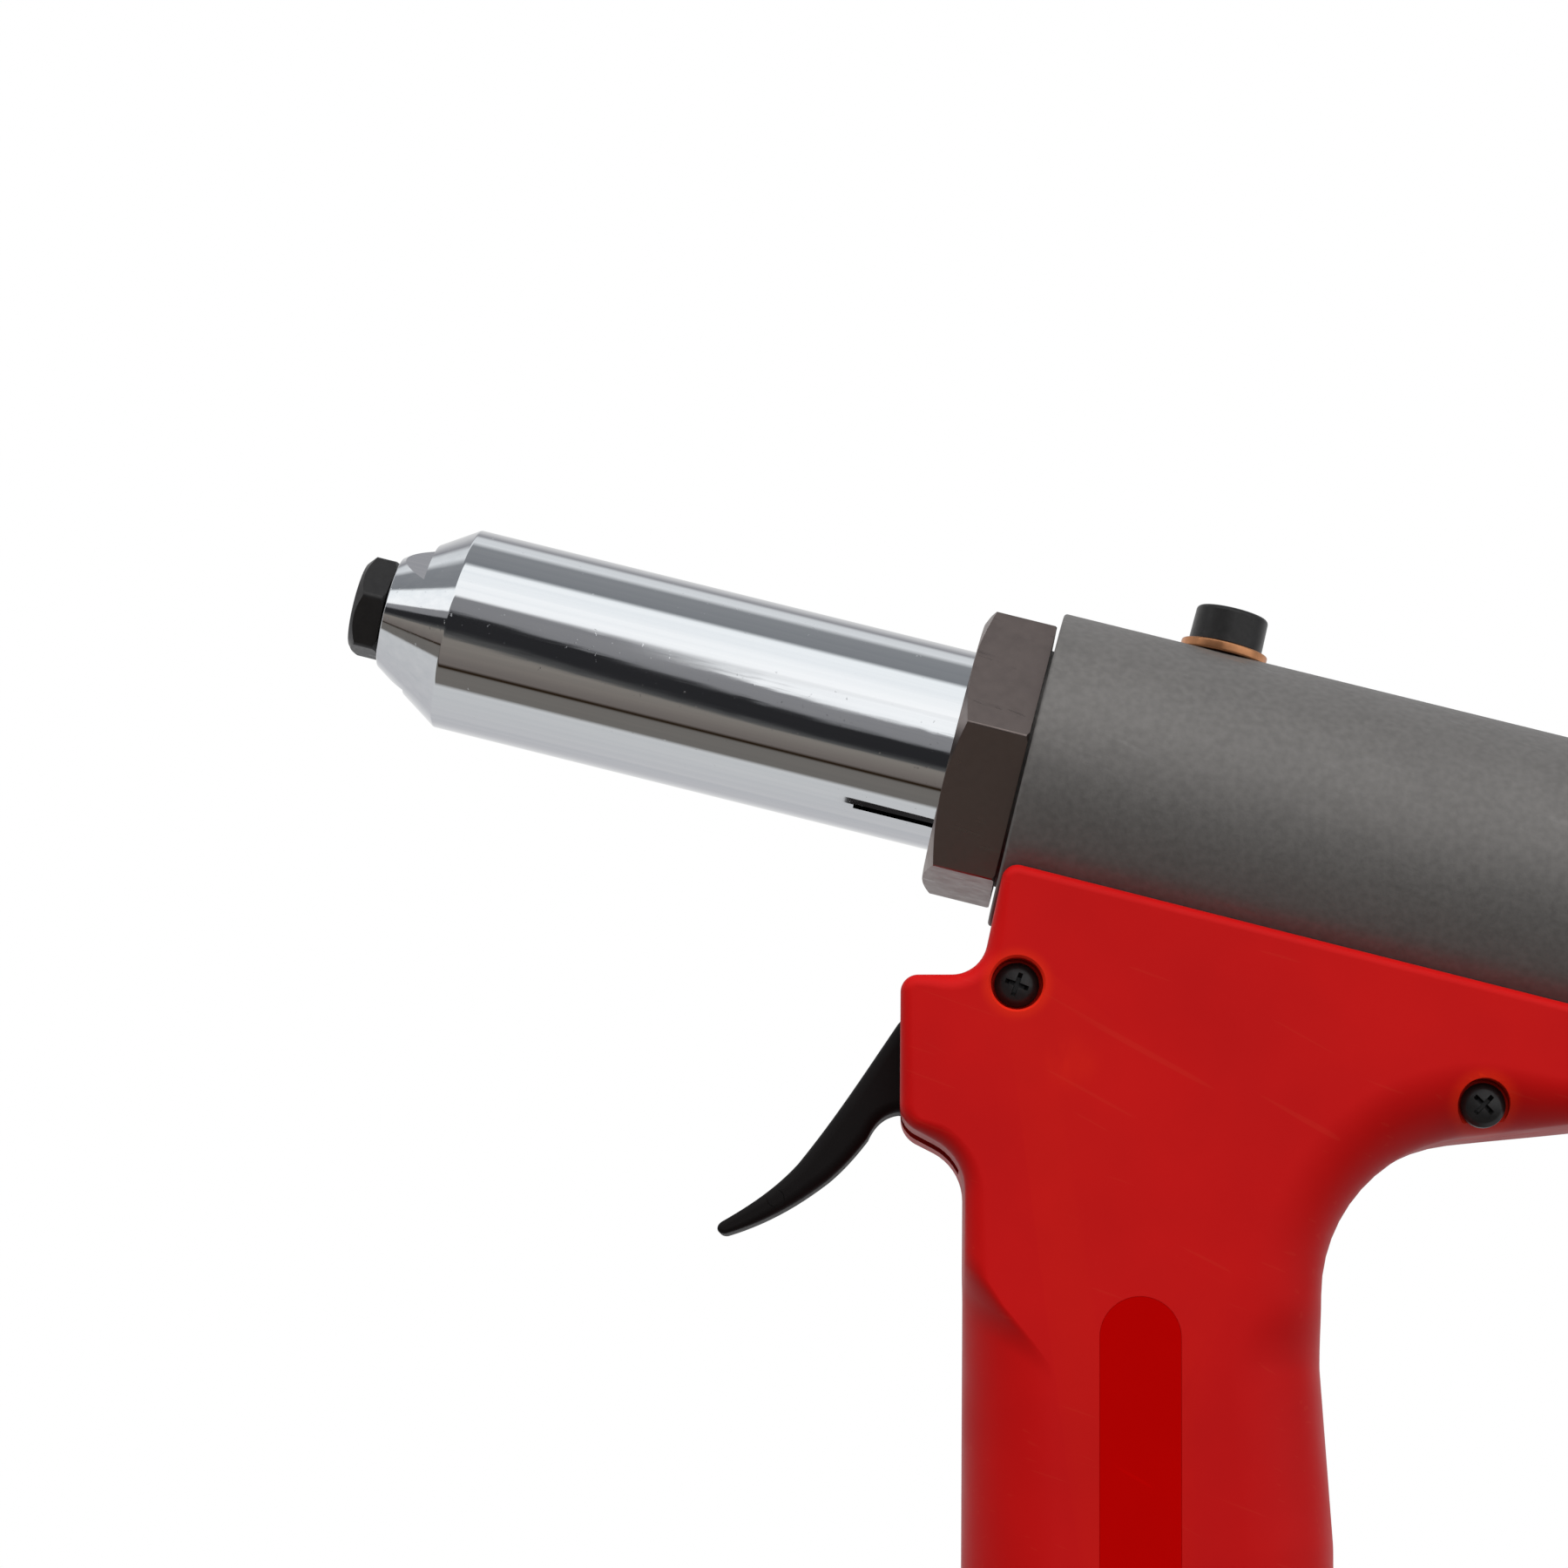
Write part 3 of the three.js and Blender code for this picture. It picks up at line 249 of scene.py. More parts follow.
def hexagon(across_flats, corner_r, turn):
    """A hexagon with rounded corners, as (x, y) pairs."""
    radius = across_flats / math.sqrt(3)
    corners = []
    for k in range(6):
        angle = turn + k * math.pi / 3
        corners.append((radius * math.cos(angle), radius * math.sin(angle), corner_r))
    return filleted(corners, closed=True)


def soften(piece, width, angle=28, segments=3):
    """Rounds the sharp edges of a piece."""
    modifier = piece.modifiers.new("soften", "BEVEL")
    modifier.width = width * MM
    modifier.segments = segments
    modifier.limit_method = "ANGLE"
    modifier.angle_limit = math.radians(angle)
    modifier.use_clamp_overlap = True
    settle(piece)


def shade(piece, sharp=32):
    """Smooth shading that keeps hard edges, with the normals held to the larger faces."""
    piece.data.shade_smooth()
    piece.data.set_sharp_from_angle(angle=math.radians(sharp))
    modifier = piece.modifiers.new("normals", "WEIGHTED_NORMAL")
    modifier.keep_sharp = True
    modifier.weight = 80
    settle(piece)


# ------------------------------------------------------------------------------------ materials


class Shader:
    """A material's node tree, built up by short calls."""

    def __init__(self, name):
        self.material = bpy.data.materials.new(name)
        self.material.use_nodes = True
        self.tree = self.material.node_tree
        self.bsdf = self.tree.nodes["Principled BSDF"]
        self.place = self.add("ShaderNodeTexCoord").outputs["Object"]

    def add(self, kind, values=None, **settings):
        node = self.tree.nodes.new(kind)
        for key, value in settings.items():
            setattr(node, key, value)
        for key, value in (values or {}).items():
            self.feed(node.inputs[key], value)
        return node

    def feed(self, socket, value):
        if isinstance(value, bpy.types.NodeSocket):
            self.tree.links.new(value, socket)
        else:
            socket.default_value = value

    def set(self, **values):
        for key, value in values.items():
            self.feed(self.bsdf.inputs[key.replace("_", " ")], value)

    def stretched(self, scale, turned=0.0):
        """The position, turned about Y and stretched unevenly."""
        turn = self.add("ShaderNodeMapping", {"Vector": self.place, "Rotation": (0, -turned, 0)})
        return self.add("ShaderNodeMapping", {"Vector": turn.outputs[0], "Scale": scale}).outputs[0]

    def noise(self, scale, detail=4.0, roughness=0.55, vector=None, distortion=0.0):
        values = {"Vector": vector or self.place, "Scale": scale, "Detail": detail,
                  "Roughness": roughness, "Distortion": distortion}
        return self.add("ShaderNodeTexNoise", values).outputs["Fac"]

    def remap(self, value, low, high, to_low=0.0, to_high=1.0, smooth=False):
        values = {"Value": value, "From Min": low, "From Max": high, "To Min": to_low, "To Max": to_high}
        kind = "SMOOTHSTEP" if smooth else "LINEAR"
        return self.add("ShaderNodeMapRange", values, interpolation_type=kind).outputs[0]

    def maths(self, operation, first, second=0.0):
        return self.add("ShaderNodeMath", {0: first, 1: second}, operation=operation).outputs[0]

    def blend(self, factor, first, second):
        node = self.add("ShaderNodeMix", {"Factor": factor}, data_type="RGBA")
        self.feed(node.inputs[6], first)
        self.feed(node.inputs[7], second)
        return node.outputs[2]

    def bump(self, height, distance, below=None):
        values = {"Height": height, "Distance": distance * MM, "Strength": 1.0}
        if below is not None:
            values["Normal"] = below
        return self.add("ShaderNodeBump", values).outputs[0]

    def distance(self, point):
        """The distance from an axis through a point, along Y, in metres."""
        offset = self.add("ShaderNodeVectorMath", {0: self.place, 1: point}, operation="SUBTRACT")
        flat = self.add("ShaderNodeVectorMath", {0: offset.outputs[0], 1: (1, 0, 1)}, operation="MULTIPLY")
        return self.add("ShaderNodeVectorMath", {0: flat.outputs[0]}, operation="LENGTH").outputs["Value"]

    def screw_side(self):
        """1 on the side that the cover screws go in from, where Y is below zero, and 0 on the other."""
        along = self.add("ShaderNodeVectorMath", {0: self.place, 1: (0, 1, 0)}, operation="DOT_PRODUCT")
        return self.remap(along.outputs["Value"], -0.002, 0.0, 1.0, 0.0)

    def scratches(self, amount):
        """Thin, sparse lines in two directions, 1 on a line."""
        masks = []
        for scale, turn in (((40, 900, 900), 0.5), ((1300, 500, 60), 1.9)):
            lines = self.noise(1.0, 1.0, 0.4, self.stretched(scale, turn), 0.4)
            masks.append(self.remap(lines, 0.71 - amount, 0.74))
        return self.maths("MAXIMUM", masks[0], masks[1])


def colour(rgb, factor=1.0):
    return (*(min(1.0, channel * factor) for channel in rgb), 1)


def edge_wear_and_highlight(shader, low, high):
    """1 on convex edges: worn edges on the metals, and a painted highlight on the red covers."""
    geometry = shader.add("ShaderNodeNewGeometry")
    return shader.remap(geometry.outputs["Pointiness"], low, high, smooth=True)


def metal_finish(name, rgb, roughness, grain=1800, depth=0.004, metallic=1.0, mottle=0.10, turned=None,
                 wear=0.15, speckle=900.0):
    """Machined or coated metal: tone drift, fine grain, scratches and brighter edges."""
    shader = Shader(name)
    drift = shader.remap(shader.noise(70.0, 5.0), 0.3, 0.7)
    speck = shader.remap(shader.noise(speckle, 2.0, 0.6), 0.3, 0.7)
    drift = shader.maths("ADD", shader.maths("MULTIPLY", drift, 0.3), shader.maths("MULTIPLY", speck, 0.7))
    base = shader.blend(drift, colour(rgb, 1 - mottle), colour(rgb, 1 + mottle))
    worn = shader.maths("MULTIPLY", edge_wear_and_highlight(shader, 0.53, 0.62), wear)
    base = shader.blend(worn, base, colour(rgb, 1.8))
    if turned == "head":
        fine = shader.noise(1.0, 3.0, 0.6, shader.stretched((grain, 25, 25), TILT))
    elif turned == "up":
        fine = shader.noise(1.0, 3.0, 0.6, shader.stretched((25, 25, grain)))
    else:
        fine = shader.noise(grain, 3.0, 0.6)
    scratch = shader.scratches(0.0)
    rough = shader.remap(fine, 0.3, 0.7, roughness * 0.85, roughness * 1.15)
    rough = shader.maths("SUBTRACT", rough, shader.maths("MULTIPLY", scratch, roughness * 0.25))
    normal = shader.bump(fine, depth)
    shader.set(Base_Color=base, Metallic=metallic, Roughness=rough, Normal=normal)
    return shader.material


def plastic_finish(name, rgb, roughness, grain=2600, depth=0.006, mottle=0.05, specular=0.3):
    """Moulded plastic: tone drift, spark-eroded grain and faint rub marks."""
    shader = Shader(name)
    drift = shader.noise(45.0, 4.0)
    base = shader.blend(shader.remap(drift, 0.3, 0.7), colour(rgb, 1 - mottle), colour(rgb, 1 + mottle))
    scratch = shader.scratches(-0.01)
    base = shader.blend(shader.maths("MULTIPLY", scratch, 0.10), base, colour(rgb, 1.7))
    fine = shader.noise(grain, 2.0, 0.5)
    rough = shader.remap(shader.noise(160.0, 4.0), 0.3, 0.7, roughness * 0.9, roughness * 1.1)
    normal = shader.bump(fine, depth)
    shader.set(Base_Color=base, Roughness=rough, Normal=normal, Specular_IOR_Level=specular)
    return shader.material


def chrome_finish(name):
    """Mirror plating with lengthwise polishing streaks, pits and handling marks."""
    shader = Shader(name)
    streaks = shader.noise(1.0, 4.0, 0.6, shader.stretched((6, 900, 900), TILT))
    pits = shader.remap(shader.noise(1500.0, 2.0, 0.5), 0.72, 0.78)
    haze = shader.noise(55.0, 6.0, 0.65)
    rough = shader.remap(haze, 0.35, 0.75, 0.02, 0.075)
    rough = shader.maths("ADD", rough, shader.maths("MULTIPLY", pits, 0.25))
    base = shader.blend(shader.remap(streaks, 0.3, 0.7), (0.84, 0.86, 0.88, 1), (0.93, 0.94, 0.95, 1))
    normal = shader.bump(streaks, 0.0016)
    normal = shader.bump(pits, 0.004, normal)
    shader.set(Base_Color=base, Metallic=1.0, Roughness=rough, Normal=normal)
    return shader.material


def cover_finish(name, screws, flow_mark):
    """Red moulded plastic, with flow marks round the gates, and painted highlights round the screw recesses and
    along the convex edges.
    """
    shader = Shader(name)
    drift = shader.noise(26.0, 4.0, 0.6)
    base = shader.blend(shader.remap(drift, 0.3, 0.7), RED_LOW, RED_HIGH)
    screw_side = shader.screw_side()
    # Painted highlight: a bright orange-red ring round each screw recess, on the screw side only.
    for x, z in screws:
        away = shader.distance((x * MM, 0, z * MM))
        ring = shader.remap(away, 0.0033, 0.0050, 1.0, 0.0, smooth=True)
        ring = shader.maths("MULTIPLY", ring, screw_side)
        base = shader.blend(shader.maths("MULTIPLY", ring, 0.40), base, RED_HIGHLIGHT_AND_FLOW_MARK)
    mark = shader.distance((flow_mark[0] * MM, 0, flow_mark[1] * MM))
    swirl = shader.noise(1.0, 3.0, 0.6, shader.stretched((420, 420, 140)), 0.6)
    spread = shader.maths("MULTIPLY", shader.remap(mark, 0.0, 0.0045, 0.30, 0.0, smooth=True),
                          shader.remap(swirl, 0.25, 0.75))
    base = shader.blend(spread, base, RED_HIGHLIGHT_AND_FLOW_MARK)
    # Painted highlight: the convex edges turned bright orange-red.
    rim = edge_wear_and_highlight(shader, 0.52, 0.60)
    base = shader.blend(shader.maths("MULTIPLY", rim, 0.35), base, RED_HIGHLIGHT_AND_FLOW_MARK)
    scratch = shader.scratches(-0.012)
    base = shader.blend(shader.maths("MULTIPLY", scratch, 0.05), base, (0.75, 0.12, 0.06, 1))
    fine = shader.noise(3200.0, 2.0, 0.5)
    rough = shader.remap(shader.noise(120.0, 4.0), 0.3, 0.7, 0.40, 0.50)
    normal = shader.bump(fine, 0.005)
    shader.set(Base_Color=base, Roughness=rough, Normal=normal, Specular_IOR_Level=0.11)
    return shader.material


RED_LOW = (0.50, 0.0050, 0.0055, 1)
RED_HIGH = (0.60, 0.0068, 0.0062, 1)
# The bright orange-red of the painted highlights round the screw recesses and along the edges, and also the colour
# of the flow mark.
RED_HIGHLIGHT_AND_FLOW_MARK = (0.86, 0.035, 0.006, 1)

# Cover screws as x, z, depth of the head's seat from the mid-plane, radius of the pillar, and whether the
# recess opens in the flat side
GRIP_SCREWS = [
    (-15.8, 219.2, 14, 4.5, True),
    (42.1, 204.6, 14, 4.5, True),
    (-21.9, 106.5, 15, 3.2, False),
    (17.6, 128.0, 11, 4.5, False),
]
FLOW_MARK = (-9.0, 209.5)

FINISHES = {
    "chrome": chrome_finish("chrome plating"),
    "black_steel": metal_finish("black oxide", (0.030, 0.029, 0.029), 0.36, 2200, 0.006, 0.55, 0.18),
    "nut_steel": metal_finish("nickelled steel", (0.245, 0.200, 0.185), 0.36, 500, 0.0015, 1.0, 0.05),
    "grey_aluminium": metal_finish("hard anodising", (0.185, 0.176, 0.168), 0.52, 2200, 0.016, 0.45, 0.16,
                                   wear=0.35, speckle=1100.0),
    "base_aluminium": metal_finish("dark anodising", (0.130, 0.130, 0.134), 0.42, 2200, 0.006, 0.7, 0.10,
                                   turned="up"),
    "copper": metal_finish("copper", (0.66, 0.30, 0.14), 0.34, 900, 0.004, 1.0, 0.16, "head"),
    "brass": metal_finish("turned brass", (0.58, 0.40, 0.14), 0.30, 1300, 0.004, 1.0, 0.10, "head"),
    "bright_steel": metal_finish("ground steel", (0.52, 0.53, 0.54), 0.26, 1500, 0.003, 1.0, 0.08, "head"),
    "seal_rubber": plastic_finish("nitrile rubber", (0.016, 0.016, 0.016), 0.55, 1200, 0.008, 0.2),
    "black_plastic": plastic_finish("black nylon", (0.0095, 0.0082, 0.0082), 0.50, 1500, 0.008, 0.15, 0.08),
    "red_plastic": cover_finish("red covers", [screw[:2] for screw in GRIP_SCREWS], FLOW_MARK),
    "deep_red_plastic": plastic_finish("deep red inlay", (0.50, 0.0004, 0.0002), 0.80, 2800, 0.004, 0.03,
                                       specular=0.02),
    "porous_bronze": metal_finish("sintered bronze", (0.42, 0.30, 0.13), 0.60, 900, 0.06, 0.8, 0.25),
    "boot_rubber": plastic_finish("boot rubber", (0.020, 0.020, 0.021), 0.72, 900, 0.03, 0.2, 0.35),
}
BODY_OF = {node: body for body, nodes in frame["record"]["behaviour"]["bodies"].items() for node in nodes}


def slot_of(node):
    return frame["nodes"][node].data.materials[0].name.split(".")[0]


SLOT_OF = {node: slot_of(node) for node in frame["nodes"]}
for node, cad_piece in frame["nodes"].items():
    cad_piece.material_slots[0].material = FINISHES[SLOT_OF[node]]


def hand_over(piece, node, sharp=32):
    """Finishes a piece and lets it stand for its CAD node."""
    shade(piece, sharp)
    piece.data.materials.clear()
    piece.data.materials.append(FINISHES[SLOT_OF[node]])
    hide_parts(node)
    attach(piece, BODY_OF[node])


# ------------------------------------------------------------------------------------ nose

NUT_TURN = math.radians(4.5)
NUT_LIP_END = -22.9
MANDREL_BORE = 1.7


def nosepiece():
    shoulder = HOUSING_FRONT - GAP
    corners = hexagon(12, 0.9, -math.pi / 2 - NUT_TURN)
    bar = prism("nosepiece_detail", corners, NOSE_TIP, shoulder, HEAD_TURNED)
    crown = lathe("crown", [
        (NOSE_TIP, 0, 0), (NOSE_TIP, 5.4, 0.5), (NOSE_TIP + 1.3, 6.95, 0.8),
        (shoulder - 0.5, 6.95, 0.3), (shoulder, 6.4, 0), (shoulder, 0, 0),
    ], HEAD_TURNED)
    combine(bar, "INTERSECT", crown)
    shank = lathe("shank", [
        (shoulder - 1, 0, 0), (shoulder - 1, 4, 0), (-92.5, 4, 0.2), (-92, 3.5, 0), (-89.4, 2.8, 0.2),
        (-89.4, 0, 0),
    ], HEAD_TURNED, 48)
    combine(bar, "UNION", shank)
    bore = lathe("bore", [
        (NOSE_TIP - 1, 0, 0), (NOSE_TIP - 1, MANDREL_BORE + 1.4, 0), (NOSE_TIP + 0.4, MANDREL_BORE, 0.3),
        (-88, MANDREL_BORE, 0), (-88, 0, 0),
    ], HEAD_TURNED, 48)
    cut(bar, bore)
    soften(bar, 0.12, 30, 2)
    hand_over(bar, "nosepiece")


FLAT_TURN = math.radians(27)
FLAT_HALF = 15.3 / 2
FLAT_LENGTH = 4.3
FLANGE_FRONT = -22.6
FLANGE_REAR = -21.5
SLIT_START = -34.9
SLIT_END = -18.2
SLIT_HALF = 0.4
SLIT_TURN = math.radians(55.9)


def nose_housing():
    bore = 10.4
    tube = lathe("nose_housing_detail", [
        (HOUSING_FRONT, 4.3, 0.2), (HOUSING_FRONT, 7.2, 0.4), (-90.4, HOUSING_R, 0.5),
        (FLANGE_FRONT, HOUSING_R, 0.1), (FLANGE_FRONT, FLANGE_R, 0.1), (FLANGE_REAR, FLANGE_R, 0.1),
        (FLANGE_REAR, 12.6, 0), (HOUSING_END, 12.6, 0.3),
        (HOUSING_END, bore, 0.2), (-90, bore, 0.5), (-93.5, 4.3, 0.3),
    ], HEAD_TURNED, 192)
    reach = HOUSING_R + 5
    turn = HEAD @ Matrix.Rotation(FLAT_TURN, 4, "X")
    flats = []
    for side in (-1, 1):
        low, high = sorted((side * FLAT_HALF, side * reach))
        end = HOUSING_FRONT + FLAT_LENGTH
        flats.append(block("flat", (HOUSING_FRONT - 1, -reach, low), (end, reach, high), turn))
    turn = HEAD @ Matrix.Rotation(SLIT_TURN, 4, "X")
    slit = block("slit", (SLIT_START, -reach, -SLIT_HALF), (SLIT_END, 1 - bore, SLIT_HALF), turn)
    cut(tube, *flats, slit)
    hand_over(tube, "nose_housing", 20)


def front_lock_nut():
    corners = hexagon(34, 0.35, -math.pi / 2 - NUT_TURN)
    bar = prism("front_lock_nut_detail", corners, NUT_FRONT, NUT_REAR, HEAD_TURNED)
    turned = lathe("turned", [
        (NUT_FRONT, HOUSING_R + GAP, 0.1), (NUT_FRONT, 16.9, 0.3), (NUT_FRONT + 1.3, NUT_R, 0.3),
        (NUT_REAR - 0.5, NUT_R, 0.2), (NUT_REAR, NUT_R - 0.5, 0), (NUT_REAR, 15.9, 0),
        (NUT_LIP_END, 15.9, 0), (NUT_LIP_END, HOUSING_R + GAP, 0),
    ], HEAD_TURNED, 144)
    combine(bar, "INTERSECT", turned)
    soften(bar, 0.22, 25, 3)
    hand_over(bar, "front_lock_nut")


# ------------------------------------------------------------------------------------ hydraulic body


def hydraulic_body():
    bore, bore_end, thread, spigot = 16, 80, 17, 15.6
    barrel = lathe("hydraulic_body_detail", [
        (-21.2, 12.9, 0), (-21.2, spigot, 0.3), (BODY_FRONT, spigot, 0), (BODY_FRONT, BODY_R, 0.45),
        (BODY_REAR, BODY_R, 0.6), (BODY_REAR, thread, 0.2), (bore_end, thread, 0),
        (bore_end, bore, 0.2), (-3.8, bore, 0), (-3.8, 12.9, 0.2),
    ], HEAD_TURNED, 192)
    boss = lathe("boss", [(211, 0, 0), (211, 13, 0.6), (226, 13, 0), (226, 0, 0)], UPRIGHT)
    combine(barrel, "UNION", boss)
    bore_tool = lathe("bore", [(-3.8, 0, 0), (-3.8, bore, 0), (bore_end, bore, 0), (bore_end, 0, 0)],
                      HEAD_TURNED, 192)
    socket = lathe("socket", [(210, 0, 0), (210, 10.7, 0), (221.5, 10.7, 0), (221.5, 0, 0)], UPRIGHT)
    port = lathe("port", [(221, 0, 0), (221, 2.3, 0), (232, 2.3, 0), (232, 0, 0)],
                 Matrix.Translation((0.6, 0, 0)), 48)
    face = WASHER_BOTTOM - GAP
    spot = lathe("spot", [
        (14, 0, 0), (14, 2.6, 0), (face, 2.6, 0), (face, 5.6, 0.2), (24, 5.6, 0), (24, 0, 0),
    ], SCREW_AXIS, 72)
    cut(barrel, bore_tool, socket, port, spot)
    hand_over(barrel, "hydraulic_body", 30)


def oil_fill_screw():
    foot = WASHER_TOP + TOUCH
    shape = lathe("oil_fill_screw_detail", [
        (SCREW_BOTTOM, 0, 0), (SCREW_BOTTOM, 2.4, 0.4), (foot, 2.4, 0.1), (foot, SCREW_HEAD_R, 0.2),
        (SCREW_TOP, SCREW_HEAD_R - 0.1, 0.6), (SCREW_TOP, 0, 0),
    ], SCREW_AXIS)
    cut(shape, prism("socket", hexagon(4, 0.1, 0), foot + 2, SCREW_TOP + 1, SCREW_AXIS))
    hand_over(shape, "oil_fill_screw")


def copper_washer():
    foot = WASHER_BOTTOM - GAP + TOUCH
    washer = lathe("copper_washer_detail", [
        (foot, 2.7, 0.15), (foot, WASHER_R, 0.25), (WASHER_TOP, WASHER_R, 0.25), (WASHER_TOP, 2.7, 0.15),
    ], SCREW_AXIS)
    hand_over(washer, "copper_washer")


def rear_cap():
    flange_end, spigot, groove, bore = 103, 13.2, 11.6, 5.7
    cap = lathe("rear_cap_detail", [
        (CAP_FRONT, bore, 0), (CAP_FRONT, 16.7, 0.4), (BODY_REAR + GAP, 16.7, 0),
        (BODY_REAR + GAP, CAP_R, 0.7), (flange_end, CAP_R, 0.9), (flange_end, spigot, 0.3),
        (108.5, spigot, 0.2), (108.5, groove, 0.2), (111.5, groove, 0.2), (111.5, spigot, 0.2),
        (CAP_END, spigot, 0.9), (CAP_END, bore, 0.3),
    ], HEAD_TURNED, 144)
    holes = []
    for k in range(6):
        turn = HEAD @ Matrix.Rotation(k * math.pi / 3, 4, "X") @ Matrix.Translation((100.5, 0, 0)) @ ALONG_Y
        holes.append(lathe("pin hole", [
            (17.6, 0, 0), (18, 1.5, 0), (CAP_R - 0.4, 1.5, 0), (CAP_R + 0.6, 2.3, 0), (CAP_R + 0.6, 0, 0),
        ], turn, 32))
    cut(cap, *holes)
    hand_over(cap, "rear_cap")


def mandrel_collector():
    front, rear, outer = COLLECTOR_FRONT, COLLECTOR_REAR, COLLECTOR_R
    mouth, bore, floor = 14.6, 17.4, 2.5
    ribs = 40

    def flutes(along, angle):
        on_band = front + 2 < along < front + 11
        return -0.22 * (1 + math.cos(ribs * angle)) if on_band else 0

    cup = lathe("mandrel_collector_detail", [
        (front, mouth, 0.4), (front, outer - 0.4, 0.8), (front + 1.9, outer - 0.4, 0),
        (front + 2.5, outer - 0.4, 0), (front + 6, outer - 0.4, 0), (front + 10.5, outer - 0.4, 0),
        (front + 11.1, outer - 0.4, 0), (front + 12.3, outer - 0.4, 0.3), (front + 12.6, outer - 1.1, 0.3),
        (front + 14, outer - 1.1, 0.3), (front + 14.6, outer, 0.4), (rear - 7, outer, 4),
        (rear - 0.6, outer - 4.4, 3), (rear, outer - 8.5, 1.5), (rear, 4, 0.3), (rear - 0.5, 3.4, 0.3),
        (rear - 0.5, 0, 0), (rear - floor, 0, 0), (rear - floor, bore - 6, 2),
        (rear - floor - 4, bore - 1, 2), (rear - floor - 7, bore, 2), (front + 16, bore, 0.5), (front + 14.5, mouth, 0.5),
    ], HEAD_TURNED, 240, flutes)
    hand_over(cup, "mandrel_collector")


# ------------------------------------------------------------------------------------ grip covers

# The covers' side outline: x, z, corner radius, and radius of the rounded edge there
GRIP_OUTLINE = [
    (-17.3, 234.6, 2.0, 1.3),
    (-20.3, 220.5, 4.5, 2.2),
    (-30.3, 220.3, 2.2, 1.6),
    (-30.3, 202.0, 3.6, 1.8),
    (-22.2, 197.8, 7.0, 2.6),
    (-22.22, 184.6, 0, 3.0),
    (-22.23, 179.8, 0, 11.0),
    (-22.27, 112.0, 0, 12.0),
    (-18.0, 104.0, 0, 1.0),
    (-18.0, 96.0, 0.4, 0.3),
    (24.0, 96.0, 0.4, 0.3),
    (24.0, 104.0, 0, 1.0),
    (24.0, 112.0, 0, 12.0),
    (24.0, 150.0, 15.0, 12.0),
    (22.4, 172.0, 15.0, 12.0),
    (22.5, 198.8, 20.0, 9.0),
    (58.0, 203.0, 20.0, 5.0),
    (83.2, 203.5, 3.0, 2.0),
    (81.2, 210.1, 2.0, 1.3),
]
CREASE_Z = 182.0
CREASE_SLOPE = 0.77
CREASE_REACH = 26.0
PARTING = 0.1
POMMEL = {"front": -26.0, "rear": 31.0, "half": 19.5, "top": 121.0, "corner": 13.0, "bottom": 95.8}
GRIP_CORNER = 12.0


def stations(corners, spacing=2.0):
    """Points round an outline, each as position, inward normal and edge radius."""
    count = len(corners)
    runs = []
    for i, (x, z, radius, edge) in enumerate(corners):
        corner = Vector((x, z))
        back = (Vector(corners[i - 1][:2]) - corner).normalized()
        ahead = (Vector(corners[(i + 1) % count][:2]) - corner).normalized()
        inward_before = Vector((back.y, -back.x))
        inward_after = Vector((-ahead.y, ahead.x))
        if radius == 0:
            runs.append([(corner, (inward_before + inward_after).normalized(), edge)])
            continue
        half = math.acos(max(-1.0, min(1.0, back.dot(ahead)))) / 2
        middle = corner + (back + ahead).normalized() * (radius / math.sin(half))
        spoke = corner + back * (radius / math.tan(half)) - middle
        sweep = (math.pi - 2 * half) * math.copysign(1, back.y * ahead.x - back.x * ahead.y)
        steps = max(3, math.ceil(abs(sweep) / math.radians(7)))
        arc = []
        for k in range(steps + 1):
            angle = sweep * k / steps
            normal = Matrix.Rotation(angle, 2) @ inward_before
            arc.append((middle + Matrix.Rotation(angle, 2) @ spoke, normal, edge))
        runs.append(arc)
    result = []
    for i, run in enumerate(runs):
        result += run
        start, end = run[-1], runs[(i + 1) % count][0]
        length = (end[0] - start[0]).length
        steps = math.ceil(length / spacing)
        for k in range(1, steps):
            t = k / steps
            ease = t * t * (3 - 2 * t)
            result.append((start[0].lerp(end[0], t), start[1].lerp(end[1], t).normalized(),
                           start[2] + (end[2] - start[2]) * ease))
    return result


def inset(corners, wall):
    """The corners moved inwards by a wall thickness, each arc staying concentric."""
    count = len(corners)
    ways = [(Vector(corners[(i + 1) % count][:2]) - Vector(corners[i][:2])).normalized()
            for i in range(count)]
    moved = []
    for i, (x, z, radius, edge) in enumerate(corners):
        before, after = ways[i - 1], ways[i]
        inward = [Vector((-way.y, way.x)) for way in (before, after)]
        mitre = (inward[0] + inward[1]).normalized()
        turn = before.x * after.y - before.y * after.x
        inner = 0 if radius == 0 else max(radius - wall if turn > 0 else radius + wall, 0.3)
        point = Vector((x, z)) + mitre * (wall / mitre.dot(inward[1]))
        moved.append((point.x, point.y, inner, max(edge - wall, 0.3)))
    return moved


def slab(name, outline, low, high, round_low, round_high, steps=10, shear=None):
    """A side outline extruded across Y from low to high, with rounded edges at the ends asked for."""
    levels = []
    if round_low:
        levels += [(1, math.pi / 2 * (1 - k / steps)) for k in range(steps)]
    levels += [(1, 0), (-1, 0)]
    if round_high:
        levels += [(-1, math.pi / 2 * k / steps) for k in range(1, steps + 1)]
    rings = []
    for end, angle in levels:
        ring = []
        for point, normal, edge in outline:
            rounded = round_low if end > 0 else round_high
            radius = edge if rounded else 0
            depth = radius * (1 - math.cos(angle))
            rise = radius * (1 - math.sin(angle))
            y = low + rise if end > 0 else high - rise
            place = point + normal * depth
            drop = depth * shear(*point) if shear else 0
            ring.append((place.x, y, place.y - drop))
        rings.append(ring)
    return loft(name, rings)


def crease_shear(x, z):
    """How far the rounded front edge leans down near its crease, per millimetre inwards."""
    if x > 0:
        return 0
    near = max(0.0, 1 - abs(z - CREASE_Z) / CREASE_REACH)
    return CREASE_SLOPE * near * near * (3 - 2 * near)


